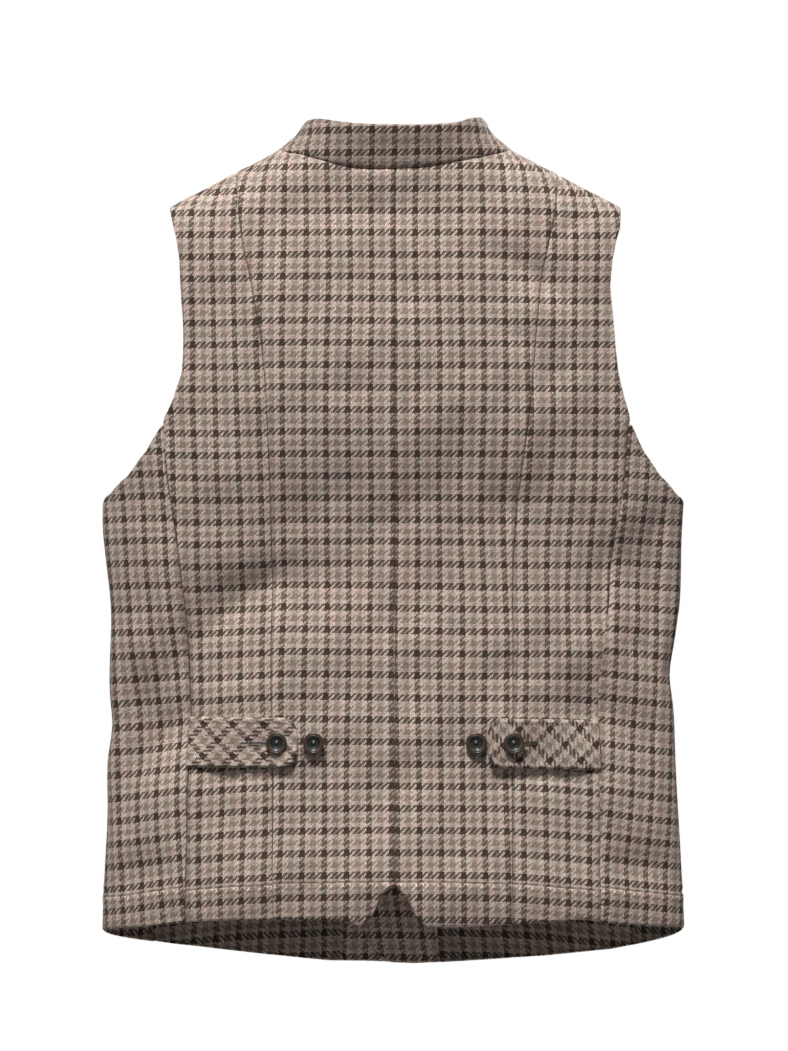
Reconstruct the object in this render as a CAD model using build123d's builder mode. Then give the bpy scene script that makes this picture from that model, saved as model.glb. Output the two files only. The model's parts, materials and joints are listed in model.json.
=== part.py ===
from build123d import *
import math
import os

# A man's tweed waistcoat with a stand collar, hung from its neck and shoulders.
# +Z runs up to the collar, +Y is the wearer's back, +X is the wearer's left.
# The origin is at the neck, level with the tops of the shoulder seams.

# ---------------------------------------------------------------- driving dimensions (mm)
TWEED = 1.6  # shell cloth with its interlining
LINING = 0.6  # body lining
FACING = 1.2  # turned-in tweed facings
LAYER_GAP = 0.2  # air between two layers
SEAM = 0.12  # half the gap left at a seam between two panels
UNDERLAP_DROP = 3.7  # how far the buttoned-under front lies inside the other

BUTTON_DIA = 18.0
BUTTON_THICK = 4.2
SHANK_DIA = 3.2
BUTTON_STAND = 3.6  # cloth surface to the underside of a button
CAD_HOLE_DIA = 22.0  # opening in a tab round its button, filled by the buttonhole cloth
FRONT_HOLE_DIA = 27.0  # the same in the front, wider because both fronts swing
FRONT_HOLE_X = -2.5
HOLE_LIPS_BORE = 4.4

TAB_ROOT_X = 176.0  # sewn end of an adjuster tab
TAB_TIP_X = 80.5
TAB_LEVEL = -502.4
TAB_WIDTH = 42.6
TAB_LIFT = 0.5  # tab underside above the back cloth
TAB_OUTER = 1.3
TAB_UNDER = 1.1
TAB_BUTTON_X = 99.4
SPARE_BUTTON_X = 68.3

FRONT_EDGE_LEFT = -22.0  # free edge of the buttonhole front
FRONT_EDGE_RIGHT = 29.0  # free edge of the button front, underneath
FACING_WIDTH = 66.0
FOLD_TOP = (95.0, 6.0)  # line on which a front folds open, at the neck
FOLD_FOOT = (150.0, -700.0)  # and at the hem
FRONT_BUTTON_LEVELS = [-96.0, -178.0, -260.0, -342.0, -424.0, -506.0, -588.0]
HEM_FACING = 32.0

# Cross-sections of the hung garment: level, half width at the side fold, half depth
SECTIONS = [
    (34, 64.4, 42.5),
    (20, 76.7, 45.0),
    (8, 87.2, 47.5),
    (-14, 123.5, 49.7),
    (-38, 170.0, 50.0),
    (-50, 192.5, 50.0),
    (-62, 208.0, 50.2),
    (-80, 222.0, 50.5),
    (-105, 232.0, 51.0),
    (-140, 240.0, 52.0),
    (-190, 245.5, 53.0),
    (-298, 247.8, 54.0),
    (-330, 246.0, 54.0),
    (-404, 240.6, 52.0),
    (-446, 238.2, 51.0),
    (-489, 239.4, 51.0),
    (-530, 242.2, 52.0),
    (-595, 244.2, 54.0),
    (-712, 248.5, 56.0),
]
LENS_POWER = 2.2

# Seam and edge lines on the wearer's left half (x, z); the right half mirrors them
NECK_BACK = [(0, -18.5), (32, -16.4), (52, -12.3), (84.5, -3.6), (99, 3.5)]
NECK_FRONT = [(0, -82), (24, -79.5), (48, -69), (72, -46), (86, -20), (93, 0), (97, 8)]
COLLAR_TOP_BACK = [(0, 15.2), (30, 16.4), (56, 20.4), (72, 24.6), (84, 30)]
COLLAR_TOP_FRONT = [(0, -46), (22, -44), (42, -33), (60, -8), (70, 14), (76, 27), (78, 31)]
PRINCESS = [(140, -8), (136.5, -27), (128, -77), (121, -118), (113.5, -185), (109.8, -234),
            (105.4, -315), (104.5, -404), (104, -484), (101.5, -600), (100.5, -672)]
SIDE_BACK = [(196, -222), (197.5, -240), (195, -287), (188.6, -335), (183.5, -378), (178.5, -425),
             (176.3, -484), (175.4, -600), (174.5, -672)]
ARMHOLE_BACK = [(197, -36), (190.6, -60), (186.4, -76.5), (183.4, -93.5), (181.6, -117), (182, -149),
                (183, -170), (184.8, -191), (191.2, -212), (199.3, -234), (210.4, -255), (226, -276),
                (242, -291), (262, -303)]
ARMHOLE_FRONT = [(197, -36), (184, -70), (173, -105), (166, -150), (166, -190), (175, -235), (198, -270),
                 (226, -289), (262, -303)]
SIDE_FRONT = [(206, -240), (206, -300), (204, -404), (203, -484), (206, -600), (208, -720)]
HEM_BACK = [(27, -656), (45, -655), (90, -651.5), (137, -651), (165, -652.5), (200, -658), (247, -664), (262, -665)]
VENT = [(0, -621), (9.5, -628), (14.5, -637), (17, -645), (27, -656)]
HEM_FRONT = [(0, -694.5), (20, -694.5), (56, -693), (112, -688), (184, -679), (230, -672), (262, -664)]

FRONT_BUTTON_X = 0.0
DEEP = 130.0  # reach of a cutting prism, past the cloth

os.makedirs("parts", exist_ok=True)


# ---------------------------------------------------------------- section geometry
def ramp(t):
    t = min(1.0, max(0.0, t))
    return t * t * (3 - 2 * t)


def ring_point(half_width, half_depth, angle, inset, under):
    """Point of the lens-shaped cross-section at an angle, moved inward by inset."""
    def at(a):
        c, s = math.cos(a), math.sin(a)
        return half_width * math.copysign(abs(c) ** (2 / LENS_POWER), c), half_depth * s

    (x0, y0), (x, y), (x1, y1) = at(angle - 0.02), at(angle), at(angle + 0.02)
    length = math.hypot(x1 - x0, y1 - y0)
    x, y = x - inset * (y1 - y0) / length, y + inset * (x1 - x0) / length
    if under and y < 0:
        y += UNDERLAP_DROP * ramp((x + 80) / 50) * (1 - ramp((x - 42) / 50))
    return x, y


def even_spline(points):
    """Spline with evenly spaced parameters, so that every section of a loft matches the next."""
    last = len(points) - 1
    return Edge.make_spline([Vector(x, y) for x, y in points], parameters=[k / last for k in range(last + 1)])


def strip(start, stop, count, inset_out, inset_in, under=False):
    """A sheet of cloth between two angles of the cross-section and two insets, top to bottom."""
    angles = [start + (stop - start) * k / (count - 1) for k in range(count)]
    with BuildPart() as sheet:
        for level, half_width, half_depth in SECTIONS:
            face = [ring_point(half_width, half_depth, a, inset_out, under) for a in angles]
            wrong = [ring_point(half_width, half_depth, a, inset_in, under) for a in angles[::-1]]
            with BuildSketch(Plane.XY.offset(level)):
                with BuildLine():
                    add(even_spline(face))
                    Line(face[-1], wrong[0])
                    add(even_spline(wrong))
                    Line(wrong[-1], face[0])
                make_face()
        loft()
    return sheet.part


def back_cloth(inset_out, inset_in):
    return strip(0, math.pi, 21, inset_out, inset_in)


def front_cloth(inset_out, inset_in):
    return strip(math.pi, 2 * math.pi, 21, inset_out, inset_in)


def under_cloth(inset_out, inset_in):
    """The front that is buttoned underneath: it dips inward below the other front."""
    return strip(math.pi, 2 * math.pi, 35, inset_out, inset_in, under=True)


def side_cloth(inset_out, inset_in):
    return strip(-0.85, 1.05, 21, inset_out, inset_in)


def surface_y(x, z, inset=0.0, front=False):
    """Depth of the garment surface at a point, by straight interpolation of the sections."""
    for (z0, w0, d0), (z1, w1, d1) in zip(SECTIONS, SECTIONS[1:]):
        if z1 <= z <= z0:
            t = (z - z0) / (z1 - z0)
            w, d = w0 + t * (w1 - w0), d0 + t * (d1 - d0)
            y = d * math.sqrt(max(0.0, 1 - abs(x / w) ** LENS_POWER)) - inset
            return -y if front else y
    raise ValueError(z)


def shifted(points, dx=0.0, dz=0.0):
    return [(x + dx, z + dz) for x, z in points]


def flipped(points):
    return [(-x, z) for x, z in points]


def finish(piece, label):
    piece.part.label = label
    export_step(piece.part, f"parts/{label}.step")


def mirrored(piece, label):
    with BuildPart() as other:
        mirror(piece.part, about=Plane.YZ)
    finish(other, label)
    return other


# Prisms are drawn on the XZ plane, whose normal is -Y: a negative amount reaches the back
BACK, FRONT = -DEEP, DEEP
back_plane = Plane.XZ.offset(-SEAM)
front_plane = Plane.XZ.offset(SEAM)

inner = TWEED + LAYER_GAP
shell_back = back_cloth(0, TWEED)
lining_stock_back = back_cloth(inner, inner + LINING)
facing_stock_back = back_cloth(inner, inner + FACING)
shell_side = side_cloth(0, TWEED)
lining_stock_side = side_cloth(inner, inner + LINING)
shell_front = front_cloth(0, TWEED)
lining_stock_front = front_cloth(inner, inner + LINING)
facing_stock_front = front_cloth(inner, inner + FACING)
shell_under = under_cloth(0, TWEED)
lining_under = under_cloth(inner, inner + LINING)
facing_under = under_cloth(inner, inner + FACING)

# ---------------------------------------------------------------- back panels
# Centre back: centre seam, half vent, hem, princess seam, shoulder, neck
with BuildPart() as back_centre_left:
    with BuildSketch(back_plane):
        with BuildLine():
            Polyline((SEAM, NECK_BACK[0][1]), (SEAM, VENT[0][1]))
            Line((SEAM, VENT[0][1]), VENT[1])
            Polyline(*VENT[1:])
            Polyline(*HEM_BACK[:3], (PRINCESS[-1][0] - SEAM, -651.2))
            Line((PRINCESS[-1][0] - SEAM, -651.2), (PRINCESS[-2][0] - SEAM, -600))
            Spline(*shifted(PRINCESS[:-1], -SEAM)[::-1])
            Line((PRINCESS[0][0] - SEAM, PRINCESS[0][1]), (PRINCESS[0][0] - SEAM, 20))
            Polyline((PRINCESS[0][0] - SEAM, 20), (NECK_BACK[-1][0], 20), NECK_BACK[-1], NECK_BACK[-2])
            Spline((SEAM, NECK_BACK[0][1]), *NECK_BACK[1:-1])
        make_face()
    extrude(amount=BACK)
    add(shell_back, mode=Mode.INTERSECT)
finish(back_centre_left, "back_centre_left")
back_centre_right = mirrored(back_centre_left, "back_centre_right")

# Side back: princess seam to the side-back seam, with the armhole above
with BuildPart() as back_side_left:
    with BuildSketch(back_plane):
        with BuildLine():
            Spline(*shifted(PRINCESS[:-1], SEAM))
            Polyline((PRINCESS[-2][0] + SEAM, -600), (PRINCESS[-1][0] + SEAM, -651.2), HEM_BACK[3], HEM_BACK[4],
                     (SIDE_BACK[-1][0] - SEAM, -654.2), (SIDE_BACK[-2][0] - SEAM, -600))
            Spline(*shifted(SIDE_BACK[1:-1], -SEAM)[::-1])
            Line((SIDE_BACK[1][0] - SEAM, SIDE_BACK[1][1]), ARMHOLE_BACK[8])
            Spline(*ARMHOLE_BACK[1:9][::-1])
            Polyline(ARMHOLE_BACK[1], ARMHOLE_BACK[0], (197, 0), (PRINCESS[0][0] + SEAM, 0),
                     (PRINCESS[0][0] + SEAM, PRINCESS[0][1]))
        make_face()
    extrude(amount=BACK)
    add(shell_back, mode=Mode.INTERSECT)
finish(back_side_left, "back_side_left")
back_side_right = mirrored(back_side_left, "back_side_right")

# Side panel: wraps the side fold from the side-back seam to the front side seam
with BuildPart() as side_panel_left:
    with BuildSketch(Plane.XZ):
        with BuildLine():
            Spline(*shifted(SIDE_BACK[1:-1], SEAM))
            Polyline((SIDE_BACK[-2][0] + SEAM, -600), (SIDE_BACK[-1][0] + SEAM, -654.2), HEM_BACK[5],
                     HEM_BACK[6], HEM_BACK[7], ARMHOLE_BACK[-1])
            Spline(*ARMHOLE_BACK[9:][::-1])
            Line(ARMHOLE_BACK[9], (SIDE_BACK[1][0] + SEAM, SIDE_BACK[1][1]))
        make_face()
    extrude(amount=BACK)
    with BuildSketch(Plane.XZ):
        with BuildLine():
            Polyline(ARMHOLE_FRONT[-1], ARMHOLE_FRONT[-2], (206 + SEAM, -275), (206 + SEAM, -300))
            Spline(*shifted(SIDE_FRONT[1:-1], SEAM))
            Polyline((SIDE_FRONT[-2][0] + SEAM, -600), (207.5 + SEAM, -675.4), HEM_FRONT[5], HEM_FRONT[6],
                     ARMHOLE_FRONT[-1])
        make_face()
    extrude(amount=FRONT)
    add(shell_side, mode=Mode.INTERSECT)
finish(side_panel_left, "side_panel_left")
side_panel_right = mirrored(side_panel_left, "side_panel_right")


# ---------------------------------------------------------------- fronts
def fold_x(z):
    t = (z - FOLD_TOP[1]) / (FOLD_FOOT[1] - FOLD_TOP[1])
    return FOLD_TOP[0] + t * (FOLD_FOOT[0] - FOLD_TOP[0])


def front_side(stock, label, inset_edge):
    """The part of a front between its fold line and the side seam, up to the shoulder."""
    with BuildPart() as piece:
        with BuildSketch(front_plane):
            with BuildLine():
                Polyline((fold_x(12) + 2 * SEAM, 12), (fold_x(-720) + 2 * SEAM, -720))
                Polyline((fold_x(-720) + 2 * SEAM, -720), (fold_x(-684) + 14, -720))
                Polyline((fold_x(-684) + 14, -720), (208 - SEAM, -720), (206 - SEAM, -600))
                Spline(*shifted(SIDE_FRONT[1:-1], -SEAM)[::-1])
                Polyline((206 - SEAM, -300), (206 - SEAM, -275), ARMHOLE_FRONT[6])
                Spline(*ARMHOLE_FRONT[1:7][::-1])
                Polyline(ARMHOLE_FRONT[1], ARMHOLE_FRONT[0], (197, 12), (fold_x(12) + 2 * SEAM, 12))
            make_face()
        extrude(amount=FRONT)
        add(stock, mode=Mode.INTERSECT)
        # hem
        with BuildSketch(front_plane):
            with BuildLine():
                Polyline((90, 20), (260, 20), (260, -664 + inset_edge), (230, -672 + inset_edge),
                         (184, -679 + inset_edge), (112, -688 + inset_edge), (90, -690 + inset_edge), (90, 20))
            make_face()
        extrude(amount=FRONT, mode=Mode.INTERSECT)
    finish(piece, label)
    return piece


front_side_left = front_side(shell_front, "front_side_left", 0)
front_side_right = mirrored(front_side_left, "front_side_right")
lining_front_side_left = front_side(lining_stock_front, "lining_front_side_left", 18)
lining_front_side_right = mirrored(lining_front_side_left, "lining_front_side_right")


def leaf(stock, label, edge_x, right, inner_x=None, margin=0.0):
    """A front leaf drawn for the wearer's left: fold line, neck, free edge and hem.

    edge_x is the free edge, past the centre when negative; inner_x stops a lining short
    of it, and margin keeps the lining off the hem.
    """
    gap = 2 * SEAM
    foot = (fold_x(-684.5 + margin) - gap, -684.5 + margin)
    with BuildPart() as piece:
        with BuildSketch(front_plane):
            with BuildLine():
                if inner_x is None:  # reaches the free edge, with a cut-away lower corner
                    neck = [(x, z - SEAM) for x, z in NECK_FRONT[:-1]]
                    Polyline(neck[0], (edge_x, neck[0][1]), (edge_x, -652), (edge_x + 3, -668), (edge_x + 11, -682),
                             (edge_x + 24, -694), (56, -693), (112, -688), foot, (fold_x(3.5) - gap, 3.5), neck[-1])
                    Spline(*neck)
                else:
                    Polyline((inner_x, -90 - margin), (inner_x, -693 + margin), (112, -688 + margin), (foot[0] - 1, foot[1]),
                             (fold_x(-30) - gap - 1, -30), (inner_x, -90 - margin))
            make_face()
            if right:
                mirror(about=Plane.YZ, mode=Mode.REPLACE)
        extrude(amount=FRONT)
        add(stock, mode=Mode.INTERSECT)
        if not right and inner_x is None:
            for level in FRONT_BUTTON_LEVELS:
                with BuildSketch(front_plane):
                    with Locations((FRONT_HOLE_X, level)):
                        Circle(FRONT_HOLE_DIA / 2)
                extrude(amount=FRONT, mode=Mode.SUBTRACT)
    finish(piece, label)
    return piece


front_leaf_left = leaf(shell_front, "front_leaf_left", FRONT_EDGE_LEFT, right=False)
front_leaf_right = leaf(shell_under, "front_leaf_right", -FRONT_EDGE_RIGHT, right=True)


def leaf_facing(stock, label, edge_x, right):
    """Tweed facing behind the free edge of a front."""
    with BuildPart() as piece:
        with BuildSketch(front_plane):
            with BuildLine():
                Polyline((edge_x + 1.5, -88), (edge_x + 1.5, -652), (edge_x + 4.5, -668), (edge_x + 12, -681),
                         (edge_x + 25, -691), (edge_x + FACING_WIDTH, -690.5), (edge_x + FACING_WIDTH, -80))
                Polyline((edge_x + FACING_WIDTH, -80), (20, -86), (edge_x + 1.5, -88))
            make_face()
            if right:
                mirror(about=Plane.YZ, mode=Mode.REPLACE)
        extrude(amount=FRONT)
        add(stock, mode=Mode.INTERSECT)
        if not right:
            for level in FRONT_BUTTON_LEVELS:
                with BuildSketch(front_plane):
                    with Locations((FRONT_HOLE_X, level)):
                        Circle(FRONT_HOLE_DIA / 2)
                extrude(amount=FRONT, mode=Mode.SUBTRACT)
    finish(piece, label)
    return piece


facing_front_left = leaf_facing(facing_stock_front, "facing_front_left", FRONT_EDGE_LEFT, right=False)
facing_front_right = leaf_facing(facing_under, "facing_front_right", -FRONT_EDGE_RIGHT, right=True)
lining_front_left = leaf(lining_stock_front, "lining_front_left", 0, right=False,
                         inner_x=FRONT_EDGE_LEFT + FACING_WIDTH + 0.3, margin=14)
lining_front_right = leaf(lining_under, "lining_front_right", 0, right=True,
                          inner_x=-FRONT_EDGE_RIGHT + FACING_WIDTH + 0.3, margin=14)

# ---------------------------------------------------------------- collar
def collar_half(stock, plane, amount, bottom, top, start_x, label, right=False, rise=0.0, both=False):
    low = [(x, z + SEAM + rise) for x, z in bottom]
    high = [(x, z - rise) for x, z in top]
    with BuildPart() as piece:
        with BuildSketch(plane):
            with BuildLine():
                Spline(*low[:-1])
                Polyline(low[-2], low[-1], (low[-1][0], high[-1][1]))
                Line((low[-1][0], high[-1][1]), high[-1])
                Spline(*high[::-1])
                Polyline(high[0], (start_x, high[0][1]), (start_x, low[0][1]), low[0])
            make_face()
            if both:
                mirror(about=Plane.YZ)
            if right:
                mirror(about=Plane.YZ, mode=Mode.REPLACE)
        extrude(amount=amount)
        add(stock, mode=Mode.INTERSECT)
    finish(piece, label)
    return piece


collar_back = collar_half(shell_back, back_plane, BACK, NECK_BACK, COLLAR_TOP_BACK, -1, "collar_back", both=True)
collar_lining_back = collar_half(facing_stock_back, back_plane, BACK, NECK_BACK, COLLAR_TOP_BACK, -1,
                                 "collar_facing_back", rise=1.2, both=True)
collar_front_left = collar_half(shell_front, front_plane, FRONT, NECK_FRONT, COLLAR_TOP_FRONT, -14, "collar_front_left")
collar_front_right = collar_half(shell_under, front_plane, FRONT, NECK_FRONT, COLLAR_TOP_FRONT, -14,
                                 "collar_front_right", right=True)
collar_facing_front_left = collar_half(facing_stock_front, front_plane, FRONT, NECK_FRONT, COLLAR_TOP_FRONT, -12,
                                       "collar_facing_front_left", rise=1.2)
collar_facing_front_right = collar_half(facing_under, front_plane, FRONT, NECK_FRONT, COLLAR_TOP_FRONT, -12,
                                        "collar_facing_front_right", right=True, rise=1.2)

# ---------------------------------------------------------------- back lining and facings
with BuildPart() as neck_facing_back:
    with BuildSketch(back_plane):
        with BuildLine():
            Spline((0, -20), (32, -18.5), (52, -14.5), (84.5, -6), (96, 0))
            Polyline((96, 0), (112, 0), (112, -40))
            Spline((112, -40), (70, -62), (30, -70), (0, -71))
            Line((0, -71), (0, -20))
        make_face()
        mirror(about=Plane.YZ)
    extrude(amount=BACK)
    add(facing_stock_back, mode=Mode.INTERSECT)
finish(neck_facing_back, "neck_facing_back")

with BuildPart() as lining_back:
    with BuildSketch(back_plane):
        with BuildLine():
            Spline((0, -71.4), (30, -70.4), (70, -62.4), (112.4, -40.4))
            Polyline((112.4, -40.4), (112.4, 0), (195, 0), (195, -40), (188, -62))
            Spline((188, -62), (181.4, -93.5), (179.6, -117), (180, -149), (181, -170), (182.8, -191), (189, -212))
            Polyline((189, -212), (195.5, -240), (193, -287), (186.6, -335), (176.5, -425), (174, -484),
                     (173.2, -600), (173.2, -620), (0, -618.5))
            Line((0, -618.5), (0, -71.4))
        make_face()
        mirror(about=Plane.YZ)
    extrude(amount=BACK)
    add(lining_stock_back, mode=Mode.INTERSECT)
finish(lining_back, "lining_back")

with BuildPart() as hem_facing_back_left:
    with BuildSketch(back_plane):
        with BuildLine():
            Polyline((0.4, -619.5), (0.4, -622), (10.5, -629), (15.8, -638), (18.2, -645.5), (28, -654.3),
                     (90, -650), (137, -649.5), (173, -651.5), (173, -621), (0.4, -619.5))
        make_face()
    extrude(amount=BACK)
    add(facing_stock_back, mode=Mode.INTERSECT)
finish(hem_facing_back_left, "hem_facing_back_left")
hem_facing_back_right = mirrored(hem_facing_back_left, "hem_facing_back_right")

with BuildPart() as lining_side_left:
    with BuildSketch(Plane.XZ):
        with BuildLine():
            Polyline((196.2, -242), (193.7, -287), (187.3, -335), (177.2, -425), (174.7, -484), (173.9, -600),
                     (173.9, -640), (200, -643), (262, -650), (262, -306), (240, -294), (224, -279), (208, -258),
                     (196.2, -242))
        make_face()
    extrude(amount=BACK)
    with BuildSketch(Plane.XZ):
        with BuildLine():
            Polyline((262, -306), (226, -292), (206.6, -279), (206.6, -300), (204.6, -404), (203.6, -484),
                     (206.6, -600), (207.6, -656), (262, -650), (262, -306))
        make_face()
    extrude(amount=FRONT)
    add(lining_stock_side, mode=Mode.INTERSECT)
finish(lining_side_left, "lining_side_left")
lining_side_right = mirrored(lining_side_left, "lining_side_right")

# ---------------------------------------------------------------- adjuster tabs
def tab_outline():
    """A tab with a soft rounded nose, drawn round from its upper corner."""
    half = TAB_WIDTH / 2
    nose = 9.0
    Polyline((TAB_TIP_X + nose, TAB_LEVEL + half), (TAB_ROOT_X, TAB_LEVEL + half),
             (TAB_ROOT_X, TAB_LEVEL - half), (TAB_TIP_X + nose, TAB_LEVEL - half))
    Spline((TAB_TIP_X + nose, TAB_LEVEL - half), (TAB_TIP_X + 2.6, TAB_LEVEL - half + 6.4),
           (TAB_TIP_X, TAB_LEVEL - half + 14), (TAB_TIP_X, TAB_LEVEL + half - 14),
           (TAB_TIP_X + 2.6, TAB_LEVEL + half - 6.4), (TAB_TIP_X + nose, TAB_LEVEL + half))


def tab_stock(low, high):
    """Slab of cloth lying on the back over the tab's level, between two heights."""
    with BuildPart() as slab:
        for level, half_width, half_depth in SECTIONS:
            if -540 < level < -440:
                with BuildSketch(Plane.XY.offset(level)):
                    xs = [190 - 4.5 * k for k in range(28)]
                    outer = [(x, half_depth * math.sqrt(1 - (x / half_width) ** LENS_POWER) + high) for x in xs]
                    under = [(x, y - high + low) for x, y in outer]
                    with BuildLine():
                        add(even_spline(outer))
                        Line(outer[-1], under[-1])
                        add(even_spline(under[::-1]))
                        Line(under[0], outer[0])
                    make_face()
        loft()
    return slab.part


tab_face_stock = tab_stock(TAB_LIFT + TAB_UNDER + 0.1, TAB_LIFT + TAB_UNDER + 0.1 + TAB_OUTER)
tab_under_stock = tab_stock(TAB_LIFT, TAB_LIFT + TAB_UNDER)


def tab_layer(stock, label):
    with BuildPart() as piece:
        with BuildSketch(Plane.XZ):
            with BuildLine():
                tab_outline()
            make_face()
            with Locations((TAB_BUTTON_X, TAB_LEVEL)):
                Circle(CAD_HOLE_DIA / 2, mode=Mode.SUBTRACT)
        extrude(amount=BACK)
        add(stock, mode=Mode.INTERSECT)
    finish(piece, label)
    return piece


tab_left = tab_layer(tab_face_stock, "tab_left")
tab_right = mirrored(tab_left, "tab_right")
tab_underside_left = tab_layer(tab_under_stock, "tab_underside_left")
tab_underside_right = mirrored(tab_underside_left, "tab_underside_right")

# The worked buttonhole of a tab: the cloth round the slit, which stretches over the button
with BuildPart() as tab_buttonhole_left:
    with BuildSketch(Plane.XZ):
        with Locations((TAB_BUTTON_X, TAB_LEVEL)):
            Circle(CAD_HOLE_DIA / 2 - 0.1)
            Circle(HOLE_LIPS_BORE / 2, mode=Mode.SUBTRACT)
    extrude(amount=BACK)
    add(tab_face_stock, mode=Mode.INTERSECT)
finish(tab_buttonhole_left, "tab_buttonhole_left")
tab_buttonhole_right = mirrored(tab_buttonhole_left, "tab_buttonhole_right")

# ---------------------------------------------------------------- front buttonholes
with BuildPart() as front_buttonholes:
    for level in FRONT_BUTTON_LEVELS:
        with BuildSketch(front_plane):
            with Locations((FRONT_HOLE_X, level)):
                Circle(FRONT_HOLE_DIA / 2 - 0.1)
            with Locations((FRONT_BUTTON_X, level)):
                Circle(HOLE_LIPS_BORE / 2, mode=Mode.SUBTRACT)
        extrude(amount=FRONT)
    add(shell_front, mode=Mode.INTERSECT)
finish(front_buttonholes, "front_buttonholes")


# ---------------------------------------------------------------- buttons
def button(label, x, z, front=False):
    """A button over its place on the cloth; returns the plane it sits on, normal outward."""
    side = -1 if front else 1
    y = surface_y(x, z, front=front)
    slope = (surface_y(x + 1, z, front=front) - surface_y(x - 1, z, front=front)) / 2
    out = Vector(-slope * side, side, 0).normalized()
    seat = Plane(origin=(x, y, z), x_dir=(0, 0, 1), z_dir=out)
    with BuildPart() as piece:
        # the sketch's own x is the radius and its own y is the shank axis
        with BuildSketch(Plane(origin=seat.origin, x_dir=seat.x_dir, z_dir=seat.x_dir.cross(out))):
            with BuildLine():
                button_profile(BUTTON_STAND)
            make_face()
        revolve(axis=Axis(seat.origin, out))
    finish(piece, label)
    print(label, "axis through", [round(v, 3) for v in seat.origin], "along", [round(v, 4) for v in out])
    return seat


def button_profile(base):
    """Half section of a concave button with a raised rim."""
    r, top = BUTTON_DIA / 2, base + BUTTON_THICK
    Polyline((0, base), (r - 2.4, base), (r, base + 1.7), (r, base + 2.4))
    ThreePointArc((r, base + 2.4), (r - 0.7, top - 0.5), (r - 2.4, top))
    ThreePointArc((r - 2.4, top), (r - 3.6, top - 0.5), (r - 4.6, top - 1.3))
    Spline((r - 4.6, top - 1.3), (2.6, top - 0.75), (1.2, top - 0.6))
    Polyline((1.2, top - 0.6), (0, top - 0.6), (0, base))


def shanks(label, seats, start):
    """Thread shanks, each a short stem from the cloth to the underside of its button."""
    with BuildPart() as piece:
        for seat in seats:
            with BuildSketch(seat.offset(start)):
                Circle(SHANK_DIA / 2)
            extrude(amount=BUTTON_STAND - start)
    finish(piece, label)


rear_seats = [
    button("rear_button_left_outer", TAB_BUTTON_X, TAB_LEVEL),
    button("rear_button_left_inner", SPARE_BUTTON_X, TAB_LEVEL),
    button("rear_button_right_outer", -TAB_BUTTON_X, TAB_LEVEL),
    button("rear_button_right_inner", -SPARE_BUTTON_X, TAB_LEVEL),
]
shanks("rear_button_shanks", rear_seats, 0.15)
front_seats = [
    button(f"front_button_{n + 1}", FRONT_BUTTON_X, level, front=True)
    for n, level in enumerate(FRONT_BUTTON_LEVELS)
]
shanks("front_button_shanks", front_seats, -UNDERLAP_DROP + 0.3)
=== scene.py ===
import json
import math

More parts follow.
